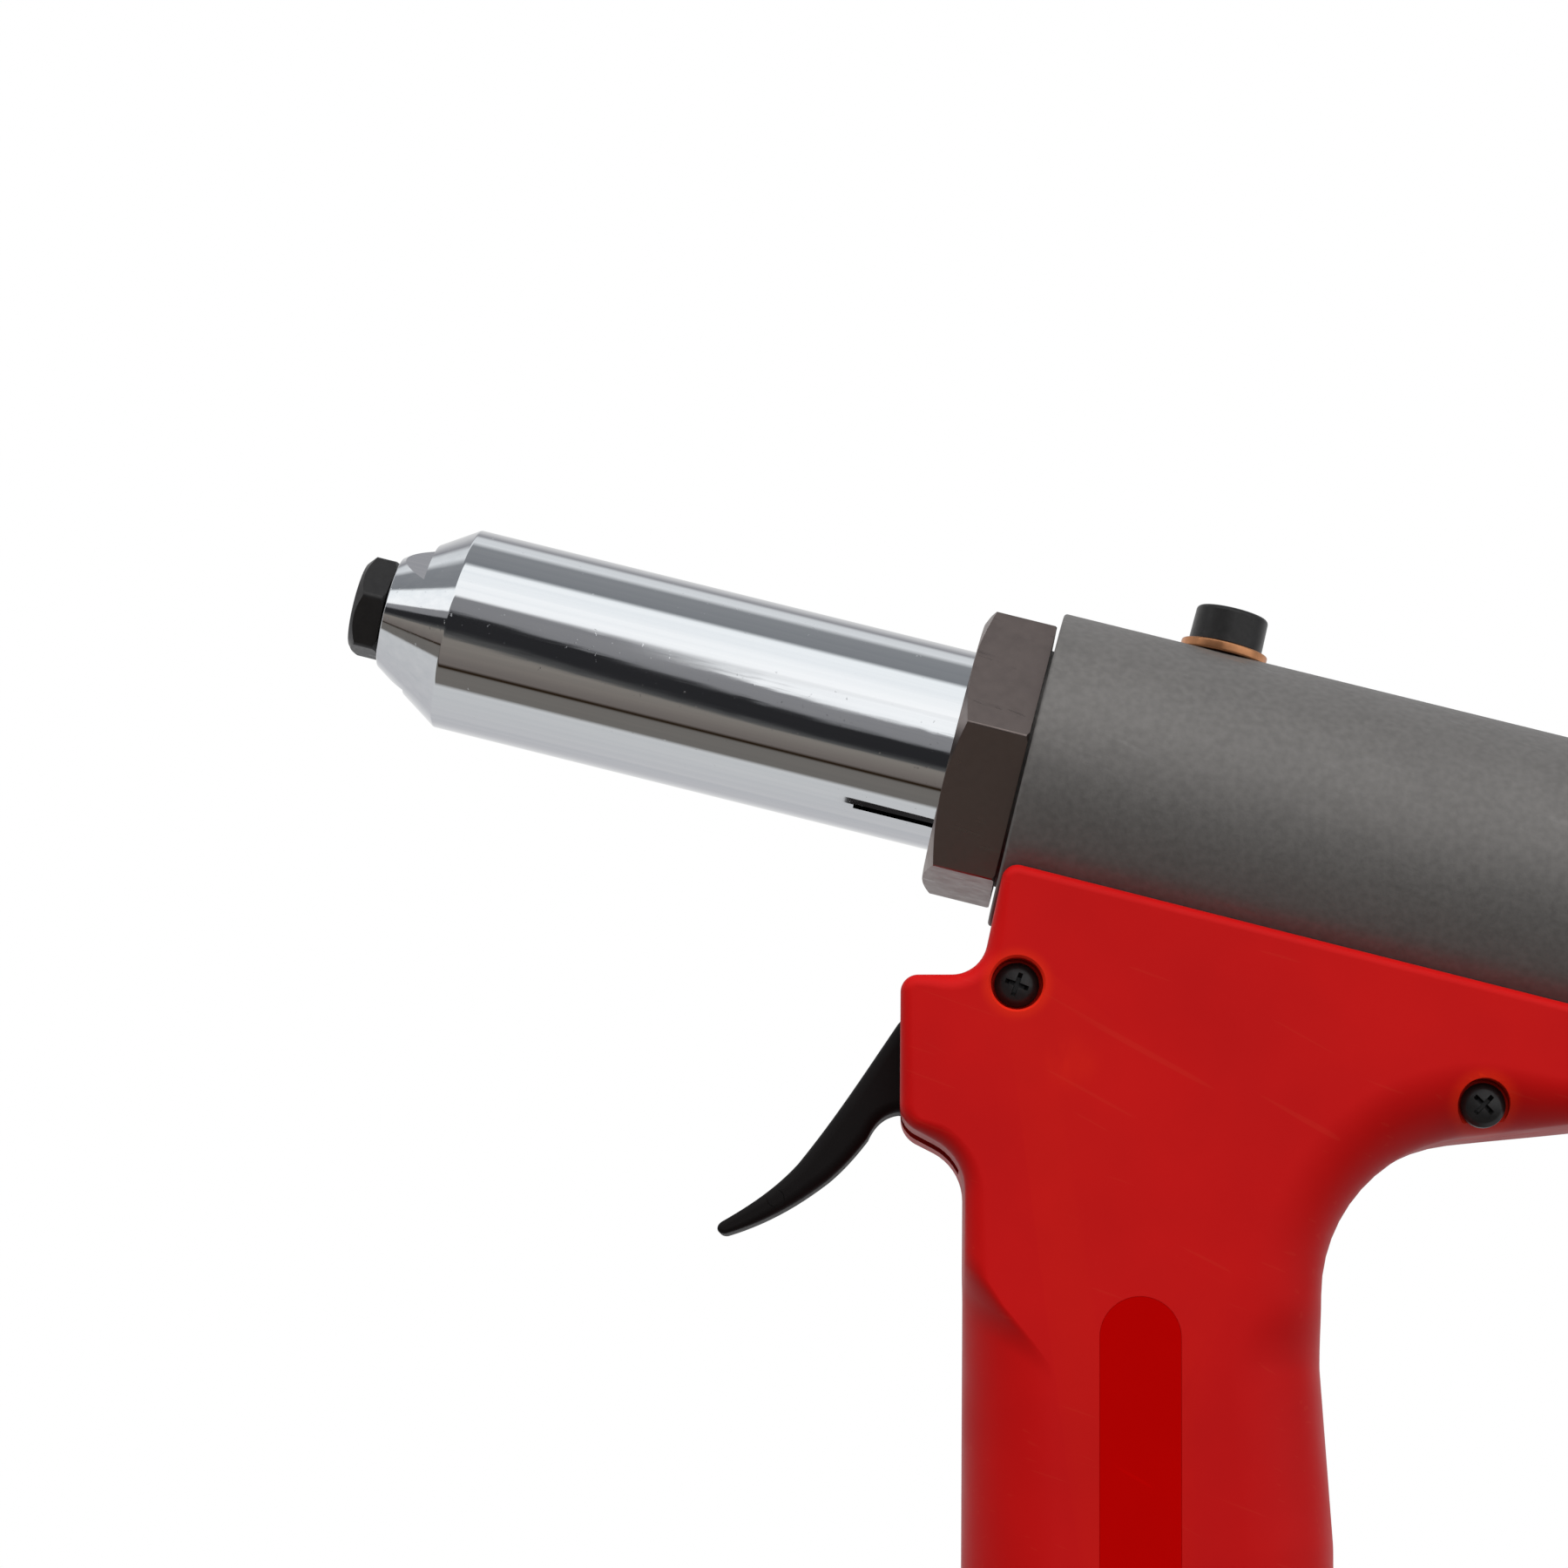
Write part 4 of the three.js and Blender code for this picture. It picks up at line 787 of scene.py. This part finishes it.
def pommel(wall, bottom, name):
    """The grip's flared foot: a rounded plan that grows out of the grip's own section."""
    foot = POMMEL
    neck = (-22.0 + wall, 23.7 - wall, 17.7 - wall, GRIP_CORNER - wall)
    base = (foot["front"] + wall, foot["rear"] - wall, foot["half"] - wall, foot["corner"] - wall)
    top = foot["top"] - wall
    flare = 9.0
    rings = []
    for z, share in [(bottom, 1.0)] + [(top - flare + flare * k / 14, None) for k in range(15)]:
        if share is None:
            t = (top - z) / flare
            share = t * t * (3 - 2 * t)
        front, rear, half, corner = (a + (b - a) * share for a, b in zip(neck, base))
        plan = filleted([(front, -half, corner), (rear, -half, corner), (rear, half, corner),
                         (front, half, corner)], True, math.radians(6))
        rings.append([(x, y, z) for x, y in plan])
    if not wall:
        lip = 0.8
        front, rear, half, corner = base
        plan = filleted([(front + lip, -half + lip, corner - lip), (rear - lip, -half + lip, corner - lip),
                         (rear - lip, half - lip, corner - lip), (front + lip, half - lip, corner - lip)],
                        True, math.radians(6))
        rings[0] = [(x, y, bottom + lip) for x, y, _ in rings[0]]
        rings.insert(0, [(x, y, bottom) for x, y in plan])
    return loft(name, rings)


SLOT_HALF = 5.4
INLAY = {"x": -0.5, "half": 5.05, "top": 180.6, "bottom": 126.0, "depth": 1.5, "gap": 0.015}
SCREW_RECESS_R = 3.25
SCREW_RECESS_FLARE = 0.6
SCREW_LENGTH = 23

# The cross in a screw's head, from its outer to its inner end: level from the crown, half length, half width
SCREW_CROSS = ((-0.6, 1.9, 0.32), (1.3, 1.0, 0.24))


def inlay_stations(shrink, edge):
    half = INLAY["half"] - shrink
    left, right = INLAY["x"] - half, INLAY["x"] + half
    bottom, top = INLAY["bottom"] + shrink, INLAY["top"] - shrink
    end = half - 0.01
    return stations([(left, bottom, end, edge), (right, bottom, end, edge),
                     (right, top, end, edge), (left, top, end, edge)])


def across(x, z):
    return Matrix.Translation((x, 0, z)) @ ALONG_Y


def grip_cover(side, node):
    """One half of the grip cover; side is -1 for the viewer's half and 1 for the other."""
    faces = (PARTING, GRIP_HALF_WIDTH) if side > 0 else (-GRIP_HALF_WIDTH, -PARTING)
    outline = stations(GRIP_OUTLINE)
    half = slab(node + "_detail", outline, *faces, side < 0, side > 0, 12, crease_shear)
    foot = pommel(0, POMMEL["bottom"], "foot")
    keep = sorted((side * PARTING, side * 40))
    combine(foot, "INTERSECT", block("keep", (-60, keep[0], 80), (60, keep[1], 140)))
    combine(half, "UNION", foot)

    inner = stations(inset(GRIP_OUTLINE, GRIP_WALL))
    reach = GRIP_HALF_WIDTH - GRIP_WALL
    hollow_faces = (-1, reach) if side > 0 else (-reach, 1)
    hollow = slab("hollow", inner, *hollow_faces, side < 0, side > 0, 6, crease_shear)
    combine(hollow, "UNION", pommel(GRIP_WALL, POMMEL["bottom"] - 2, "foot hollow"))
    pillars = [lathe("pillar", [(-19, 0, 0), (-19, r, 0), (19, r, 0), (19, 0, 0)], across(x, z), 48)
               for x, z, _, r, _ in GRIP_SCREWS]
    pivot_axis = across(PIVOT.x, PIVOT.z)
    seat = lathe("pin seat", [(-16, 0, 0), (-16, 3.1, 0), (16, 3.1, 0), (16, 0, 0)], pivot_axis, 48)
    cut(hollow, *pillars, seat)

    leg = lathe("leg room", [(80, 0, 0), (80, 13.3, 0), (232, 13.3, 0), (232, 0, 0)], UPRIGHT)
    barrel = lathe("body room", [(-45, 0, 0), (-45, BODY_R + GAP, 0), (108, BODY_R + GAP, 0), (108, 0, 0)],
                   HEAD_TURNED, 192)
    slot = block("trigger slot", (-34, -SLOT_HALF, 196.5), (-19, SLOT_HALF, 217.9))
    inlet = lathe("inlet room", [
        (20, 0, 0), (20, 7, 0), (30, 7, 0), (31.6, 8.2, 0), (37, 8.2, 0), (37, 0, 0),
    ], INLET, 72)
    pin = lathe("pin room", [(-15.4, 0, 0), (-15.4, PIN_HOLE_R, 0), (15.4, PIN_HOLE_R, 0), (15.4, 0, 0)],
                pivot_axis, 32)
    recesses = []
    for x, z, depth, _, on_flat in GRIP_SCREWS:
        flare = SCREW_RECESS_FLARE if on_flat else 0
        mouth = [(-GRIP_HALF_WIDTH + 0.3, SCREW_RECESS_R, 0),
                 (-GRIP_HALF_WIDTH - 0.3, SCREW_RECESS_R + flare, 0)]
        end = SCREW_LENGTH - depth + 1
        recesses.append(lathe("recess", [
            (end, 0, 0), (end, PIN_HOLE_R, 0), (-depth, PIN_HOLE_R, 0), (-depth, SCREW_RECESS_R, 0.15),
            *(mouth if on_flat else []), (-22, SCREW_RECESS_R + flare, 0), (-22, 0, 0),
        ], across(x, z), 64))
    inlay_faces = sorted((side * (GRIP_HALF_WIDTH - INLAY["depth"]), side * (GRIP_HALF_WIDTH + 1)))
    inlay_room = slab("inlay room", inlay_stations(0, 0), *inlay_faces, False, False)
    cut(half, hollow, leg, barrel, slot, inlet, pin, *recesses, inlay_room)
    hand_over(half, node, 30)


def grip_inlay(side, node):
    low = GRIP_HALF_WIDTH - INLAY["depth"] + 0.2
    faces = sorted((side * low, side * (GRIP_HALF_WIDTH - 0.02)))
    plate = slab(node + "_detail", inlay_stations(INLAY["gap"], 0.06), *faces, side < 0, side > 0, 3)
    hand_over(plate, node)


def grip_screw(number):
    x, z, depth, _, _ = GRIP_SCREWS[number - 1]
    node = f"grip_screw_{number}"
    seat = -depth - 0.1
    crown = seat - 2.3
    screw = lathe(node + "_detail", [
        (crown, 0, 0), (crown, 0.9, 0), (crown + 0.35, 2.2, 1.0), (crown + 1.1, 2.8, 0.4), (seat, 2.8, 0.1),
        (seat, 1.5, 0.1), (seat + SCREW_LENGTH - 2, 1.5, 0), (seat + SCREW_LENGTH, 0.4, 0.1),
        (seat + SCREW_LENGTH, 0, 0),
    ], across(x, z), 64)
    turn = math.radians(25 * number - 5)
    arms = []
    for quarter in (0, 1):
        placement = across(x, z) @ Matrix.Rotation(turn + quarter * math.pi / 2, 4, "Z")
        rings = []
        for rise, reach, half in SCREW_CROSS:
            level = crown + rise
            rings.append([(-reach, -half, level), (reach, -half, level), (reach, half, level),
                          (-reach, half, level)])
        arms.append(loft("arm", rings, placement))
    cut(screw, *arms)
    hand_over(screw, node)


# ------------------------------------------------------------------------------------ trigger

TRIGGER_CURVES = [
    [(-30.6, 215.2), (-34.9, 208.8), (-38.3, 203.4), (-43.2, 197.3)],
    [(-43.2, 197.3), (-46.0, 194.2), (-49.2, 192.0), (-52.8, 189.9)],
    [(-52.8, 189.9), (-53.7, 189.3), (-53.4, 188.2), (-52.2, 188.4)],
    [(-52.2, 188.4), (-47.9, 189.7), (-43.6, 191.9), (-39.4, 195.2)],
    [(-39.4, 195.2), (-37.6, 196.7), (-36.0, 198.5), (-34.4, 200.6)],
    [(-34.4, 200.6), (-33.7, 202.2), (-32.6, 203.6), (-30.6, 203.9)],
    [(-30.6, 203.9), (-28.4, 203.8), (-26.2, 203.4), (-24.2, 203.3)],
    [(-24.2, 203.3), (-23.5, 203.3), (-23.2, 203.6), (-23.2, 204.3)],
    [(-23.2, 204.3), (-23.2, 207.5), (-23.2, 211.0), (-23.8, 214.4)],
]
CURVE_STEPS = 12
TRIGGER_HUB_R = 3.2
HUB_STEPS = 14
TRIGGER_HUB_SWEEP = 2.2
TRIGGER_HALF = 5

# A faint ring that an ejector pin leaves, as x, z, radius, and its half width
EJECTOR_MARK = (-46.0, 192.9, 1.15)
EJECTOR_MARK_HALF = 0.12


def trigger():
    points = []
    for curve in TRIGGER_CURVES:
        a, b, c, d = (Vector(point) for point in curve)
        for k in range(CURVE_STEPS):
            t = k / CURVE_STEPS
            points.append(a * (1 - t) ** 3 + b * 3 * t * (1 - t) ** 2 + c * 3 * t * t * (1 - t) + d * t ** 3)
    for k in range(HUB_STEPS + 1):
        angle = TRIGGER_HUB_SWEEP * k / HUB_STEPS
        points.append(Vector((PIVOT.x, PIVOT.z)) + TRIGGER_HUB_R * Vector((math.cos(angle), math.sin(angle))))
    count = len(points)
    outline = []
    for k, point in enumerate(points):
        way = (points[(k + 1) % count] - points[k - 1]).normalized()
        reach = min(1.0, max(0.0, (point - Vector(TRIGGER_CURVES[2][3])).length / 12))
        outline.append((point, Vector((-way.y, way.x)), 0.55 + 1.0 * reach))
    lever = slab("trigger_detail", outline, -TRIGGER_HALF, TRIGGER_HALF, True, True, 8)
    hole = lathe("hole", [(-8, 0, 0), (-8, PIN_HOLE_R, 0), (8, PIN_HOLE_R, 0), (8, 0, 0)],
                 across(PIVOT.x, PIVOT.z), 32)
    x, z, r = EJECTOR_MARK
    marks = []
    for y in (-TRIGGER_HALF, TRIGGER_HALF):
        low, high, inner = y - EJECTOR_MARK_HALF, y + EJECTOR_MARK_HALF, r - EJECTOR_MARK_HALF
        marks.append(lathe("mark", [(low, inner, 0), (low, r, 0), (high, r, 0), (high, inner, 0)],
                           across(x, z), 48))
    cut(lever, hole, *marks)
    hand_over(lever, "trigger", 40)


# ------------------------------------------------------------------------------------ air motor and base


def air_cylinder():
    r, top, bottom, bore, ceiling = CYLINDER_R, CYLINDER_TOP, CYLINDER_BOTTOM, 37, 87.3
    cylinder = lathe("air_cylinder_detail", [
        (bottom, bore, 0.2), (bottom, r, 0.3), (82, r, 0.2), (82, r - 0.9, 0.25), (83.5, r - 0.9, 0.25),
        (83.5, r, 0.2), (90.5, r, 2.0), (top - 1.0, r - 2.2, 1.5), (top, r - 5.5, 1.0), (top, 12.3, 0.3),
        (ceiling, 12.3, 0.2), (ceiling, bore, 0.8),
    ], UPRIGHT, 192)
    hand_over(cylinder, "air_cylinder")


VENT_Z = 4.6


def rubber_base():
    r, inner, floor, top = BOOT_R, 40.3, 3.2, BOOT_TOP
    cup = lathe("rubber_base_detail", [
        (0, 0, 0), (0, r - 2.5, 0.4), (2.5, r, 1.4), (8, r, 0.8), (9, r - 1.2, 0.8),
        (14, r - 1.2, 0.2), (14.3, r - 1.6, 0.2), (15.7, r - 1.6, 0.2), (16, r - 1.2, 0.2),
        (19, r - 1.2, 0.2), (19.3, r - 1.6, 0.2), (20.7, r - 1.6, 0.2), (21, r - 1.2, 0.2),
        (top, r - 1.2, 1.0), (top, inner, 0.4), (floor, inner, 0), (floor, 0, 0),
    ], UPRIGHT, 192)
    vents = []
    for k in range(8):
        turn = Matrix.Rotation((k + 0.5) * math.pi / 4, 4, "Z")
        window = filleted([(-2, -0.9, 0.7), (2, -0.9, 0.7), (2, 0.9, 0.7), (-2, 0.9, 0.7)], True)
        outwards_turned = ALONG_X @ Matrix.Rotation(math.pi / 2, 4, "Z")
        placement = turn @ Matrix.Translation((0, 0, VENT_Z)) @ outwards_turned
        vents.append(prism("vent", window, r - 6, r + 6, placement))
    cut(cup, *vents)
    hand_over(cup, "rubber_base")


def air_inlet():
    front, end, bore = INLET_FRONT, INLET_END, 2.4
    nipple = lathe("air_inlet_detail", [
        (front, bore, 0.2), (front, 5.1, 0.3), (28.4, 5.1, 0), (28.4, 6, 0.3), (41.5, 6, 0.3),
        (41.5, 4.6, 0.3), (48, 4.6, 0.3), (48.8, 5.9, 0.3), (50.6, 5.9, 0.3), (51.4, 4.1, 0.3), (57, 4.1, 0.3), (58.5, 5, 0.3),
        (end - 0.5, 5, 0.4), (end, 4.5, 0), (end, bore, 0.2),
    ], INLET, 96)
    bar = prism("hexagon", hexagon(14, 0.3, math.radians(30)), 33, 40.5, INLET)
    crown = lathe("crown", [(33, bore, 0), (33, 7.2, 0.2), (33.7, 8, 0), (39.8, 8, 0), (40.5, 7.2, 0.2),
                            (40.5, bore, 0)], INLET, 96)
    combine(bar, "INTERSECT", crown)
    combine(nipple, "UNION", bar)
    hand_over(nipple, "air_inlet")


nosepiece()
nose_housing()
front_lock_nut()
hydraulic_body()
oil_fill_screw()
copper_washer()
rear_cap()
mandrel_collector()
grip_cover(-1, "grip_cover_right")
grip_cover(1, "grip_cover_left")
grip_inlay(-1, "grip_inlay_right")
grip_inlay(1, "grip_inlay_left")
for screw_number in (1, 2, 3, 4):
    grip_screw(screw_number)
trigger()
air_cylinder()
rubber_base()
air_inlet()

# ------------------------------------------------------------------------------------ studio

FLOOR_R = 3.0
FLOOR_DROP = 0.0003
FLOOR_FADE = (1.2, 2.9)


def floor():
    """A round, pale floor that fades out at its rim."""
    rings, facets = [0.3, 0.8, 1.6, FLOOR_R], 96
    vertices = [(0, 0, 0)]
    for radius in rings:
        for k in range(facets):
            angle = 2 * math.pi * k / facets
            vertices.append((radius * math.cos(angle), radius * math.sin(angle), 0))
    faces = [(0, 1 + k, 1 + (k + 1) % facets) for k in range(facets)]
    for level in range(len(rings) - 1):
        a, b = 1 + level * facets, 1 + (level + 1) * facets
        faces += [(a + k, b + k, b + (k + 1) % facets, a + (k + 1) % facets) for k in range(facets)]
    mesh = bpy.data.meshes.new("floor")
    mesh.from_pydata(vertices, [], faces)
    sheet = bpy.data.objects.new("floor", mesh)
    sheet.location.z = -FLOOR_DROP
    bpy.context.scene.collection.objects.link(sheet)
    shader = Shader("pale floor")
    reach = shader.add("ShaderNodeVectorMath", {0: shader.place}, operation="LENGTH").outputs["Value"]
    tone = shader.noise(3.0, 3.0)
    pale = shader.blend(tone, (0.82, 0.82, 0.82, 1), (0.86, 0.86, 0.86, 1))
    fade = shader.remap(reach, *FLOOR_FADE, 1.0, 0.0, smooth=True)
    shader.set(Base_Color=pale, Roughness=0.7, Alpha=fade)
    mesh.materials.append(shader.material)
    sheet.visible_glossy = False
    sheet.visible_diffuse = False


# The studio's light all round the gun, as stops about the head's axis: the angle above the horizon on the
# viewer's side, in degrees, and the light there. The light blends from each stop to the next.
STUDIO = [
    (-180, (0.80, 0.80, 0.80)),  # backdrop
    (-150, (0.50, 0.50, 0.52)),  # table top
    (-80, (0.55, 0.56, 0.57)),
    (-76, (0.15, 0.14, 0.13)),  # table edge, with a dark joint
    (-57, (0.15, 0.14, 0.13)),
    (-55, (0.02, 0.012, 0.006)),
    (-53, (0.02, 0.012, 0.006)),
    (-51, (0.15, 0.13, 0.12)),
    (-22, (0.22, 0.20, 0.18)),
    (-18, (0.08, 0.08, 0.08)),  # dark room
    (-9, (0.02, 0.02, 0.022)),
    (9, (0.02, 0.02, 0.022)),
    (12, (0.22, 0.22, 0.23)),
    (27, (0.24, 0.24, 0.25)),
    (30, (0.98, 0.99, 1.0)),  # soft box
    (69, (0.90, 0.93, 0.95)),
    (74, (0.21, 0.22, 0.235)),  # ceiling, with a second light
    (104, (0.24, 0.25, 0.265)),
    (113, (0.72, 0.74, 0.76)),
    (125, (0.64, 0.66, 0.68)),
    (132, (0.28, 0.28, 0.30)),
    (146, (0.55, 0.55, 0.56)),
    (170, (0.80, 0.80, 0.80)),
]


def studio():
    world = bpy.data.worlds.new("studio")
    bpy.context.scene.world = world
    world.use_nodes = True
    tree = world.node_tree
    tree.nodes.clear()

    def add(kind, values=None, **settings):
        node = tree.nodes.new(kind)
        for key, value in settings.items():
            setattr(node, key, value)
        for key, value in (values or {}).items():
            if isinstance(value, bpy.types.NodeSocket):
                tree.links.new(value, node.inputs[key])
            else:
                node.inputs[key].default_value = value
        return node

    way = add("ShaderNodeTexCoord").outputs["Generated"]
    turned = add("ShaderNodeMapping", {"Vector": way, "Rotation": (0, -TILT, 0)}).outputs[0]
    split = add("ShaderNodeSeparateXYZ", {0: turned})
    towards = add("ShaderNodeMath", {0: split.outputs["Y"], 1: -1.0}, operation="MULTIPLY").outputs[0]
    angle = add("ShaderNodeMath", {0: split.outputs["Z"], 1: towards}, operation="ARCTAN2").outputs[0]

    def ramp_between(value, low, high, to_low=0.0, to_high=1.0, kind="SMOOTHSTEP"):
        values = {"Value": value, "From Min": low, "From Max": high, "To Min": to_low, "To Max": to_high}
        return add("ShaderNodeMapRange", values, interpolation_type=kind).outputs[0]

    def product(first, second):
        return add("ShaderNodeMath", {0: first, 1: second}, operation="MULTIPLY").outputs[0]

    rise = ramp_between(angle, math.radians(-50), math.radians(-20))
    fall = ramp_between(angle, math.radians(12), math.radians(32), 1.0, 0.0)
    dark_room = product(rise, fall)
    lean = ramp_between(split.outputs["X"], -0.127, -0.05, 0.0, 0.35, "LINEAR")
    fine = add("ShaderNodeMapping", {"Vector": turned, "Scale": (230, 14, 14)}).outputs[0]
    ragged = add("ShaderNodeTexNoise", {"Vector": fine, "Scale": 1.0, "Detail": 5.0, "Roughness": 0.75})
    wobble = ramp_between(ragged.outputs["Fac"], 0.3, 0.7, -0.07, 0.07, "LINEAR")
    shift = add("ShaderNodeMath", {0: lean, 1: wobble}, operation="ADD").outputs[0]
    angle = add("ShaderNodeMath", {0: angle, 1: product(shift, dark_room)}, operation="ADD").outputs[0]
    share = add("ShaderNodeMapRange", {"Value": angle, "From Min": -math.pi, "From Max": math.pi}).outputs[0]
    ramp = add("ShaderNodeValToRGB", {"Fac": share})
    stops = ramp.color_ramp.elements
    stops[0].position = 0.0
    stops[0].color = (*STUDIO[0][1], 1)
    stops[1].position = 1.0
    stops[1].color = (*STUDIO[0][1], 1)
    for degrees, light in STUDIO[1:]:
        stop = stops.new((degrees + 180) / 360)
        stop.color = (*light, 1)
    around = add("ShaderNodeBackground", {"Color": ramp.outputs["Color"], "Strength": 1.0})
    seen = add("ShaderNodeBackground", {"Color": (1, 1, 1, 1), "Strength": 1.0})
    ray = add("ShaderNodeLightPath").outputs["Is Camera Ray"]
    mixed = add("ShaderNodeMixShader", {0: ray, 1: around.outputs[0], 2: seen.outputs[0]})
    add("ShaderNodeOutputWorld", {"Surface": mixed.outputs[0]})


def area_light(name, place, aim, size, power, tint=(1, 1, 1)):
    light = bpy.data.lights.new(name, "AREA")
    light.shape = "RECTANGLE"
    light.size, light.size_y = size
    light.energy = power
    light.color = tint
    lamp = bpy.data.objects.new(name, light)
    lamp.location = place
    lamp.rotation_euler = (Vector(aim) - Vector(place)).to_track_quat("-Z", "Y").to_euler()
    lamp.visible_glossy = False
    lamp.visible_camera = False
    bpy.context.scene.collection.objects.link(lamp)


# From the CAD box's low X, low Y and high Z corner, in metres
EYE_OFFSET = (0.0733, -0.5915, -0.1147)
AIM_OFFSET = (0.0564, -0.0334)
LENS = 114.2
CAMERA_ROLL = 0.5


def camera():
    low, high = cad_box
    view = bpy.data.cameras.new("camera")
    view.lens = LENS
    view.sensor_width = 36
    eye = bpy.data.objects.new("camera", view)
    aim = Vector((low.x + AIM_OFFSET[0], 0, high.z + AIM_OFFSET[1]))
    eye.location = (low.x + EYE_OFFSET[0], low.y + EYE_OFFSET[1], high.z + EYE_OFFSET[2])
    roll = Matrix.Rotation(math.radians(CAMERA_ROLL), 3, "Z")
    eye.rotation_euler = ((aim - eye.location).to_track_quat("-Z", "Y").to_matrix() @ roll).to_euler()
    bpy.context.scene.collection.objects.link(eye)
    bpy.context.scene.camera = eye


floor()
studio()
camera()
area_light("overhead", (-0.1, -0.45, 1.2), (0, 0, 0.2), (1.0, 0.8), 7.2)
area_light("front fill", (0.0, -1.5, 0.6), (0, 0, 0.18), (1.2, 1.0), 6.0)
area_light("rear fill", (0.9, 1.3, 0.8), (0, 0, 0.15), (1.2, 1.0), 9.0)
bpy.context.scene.view_settings.view_transform = "Standard"
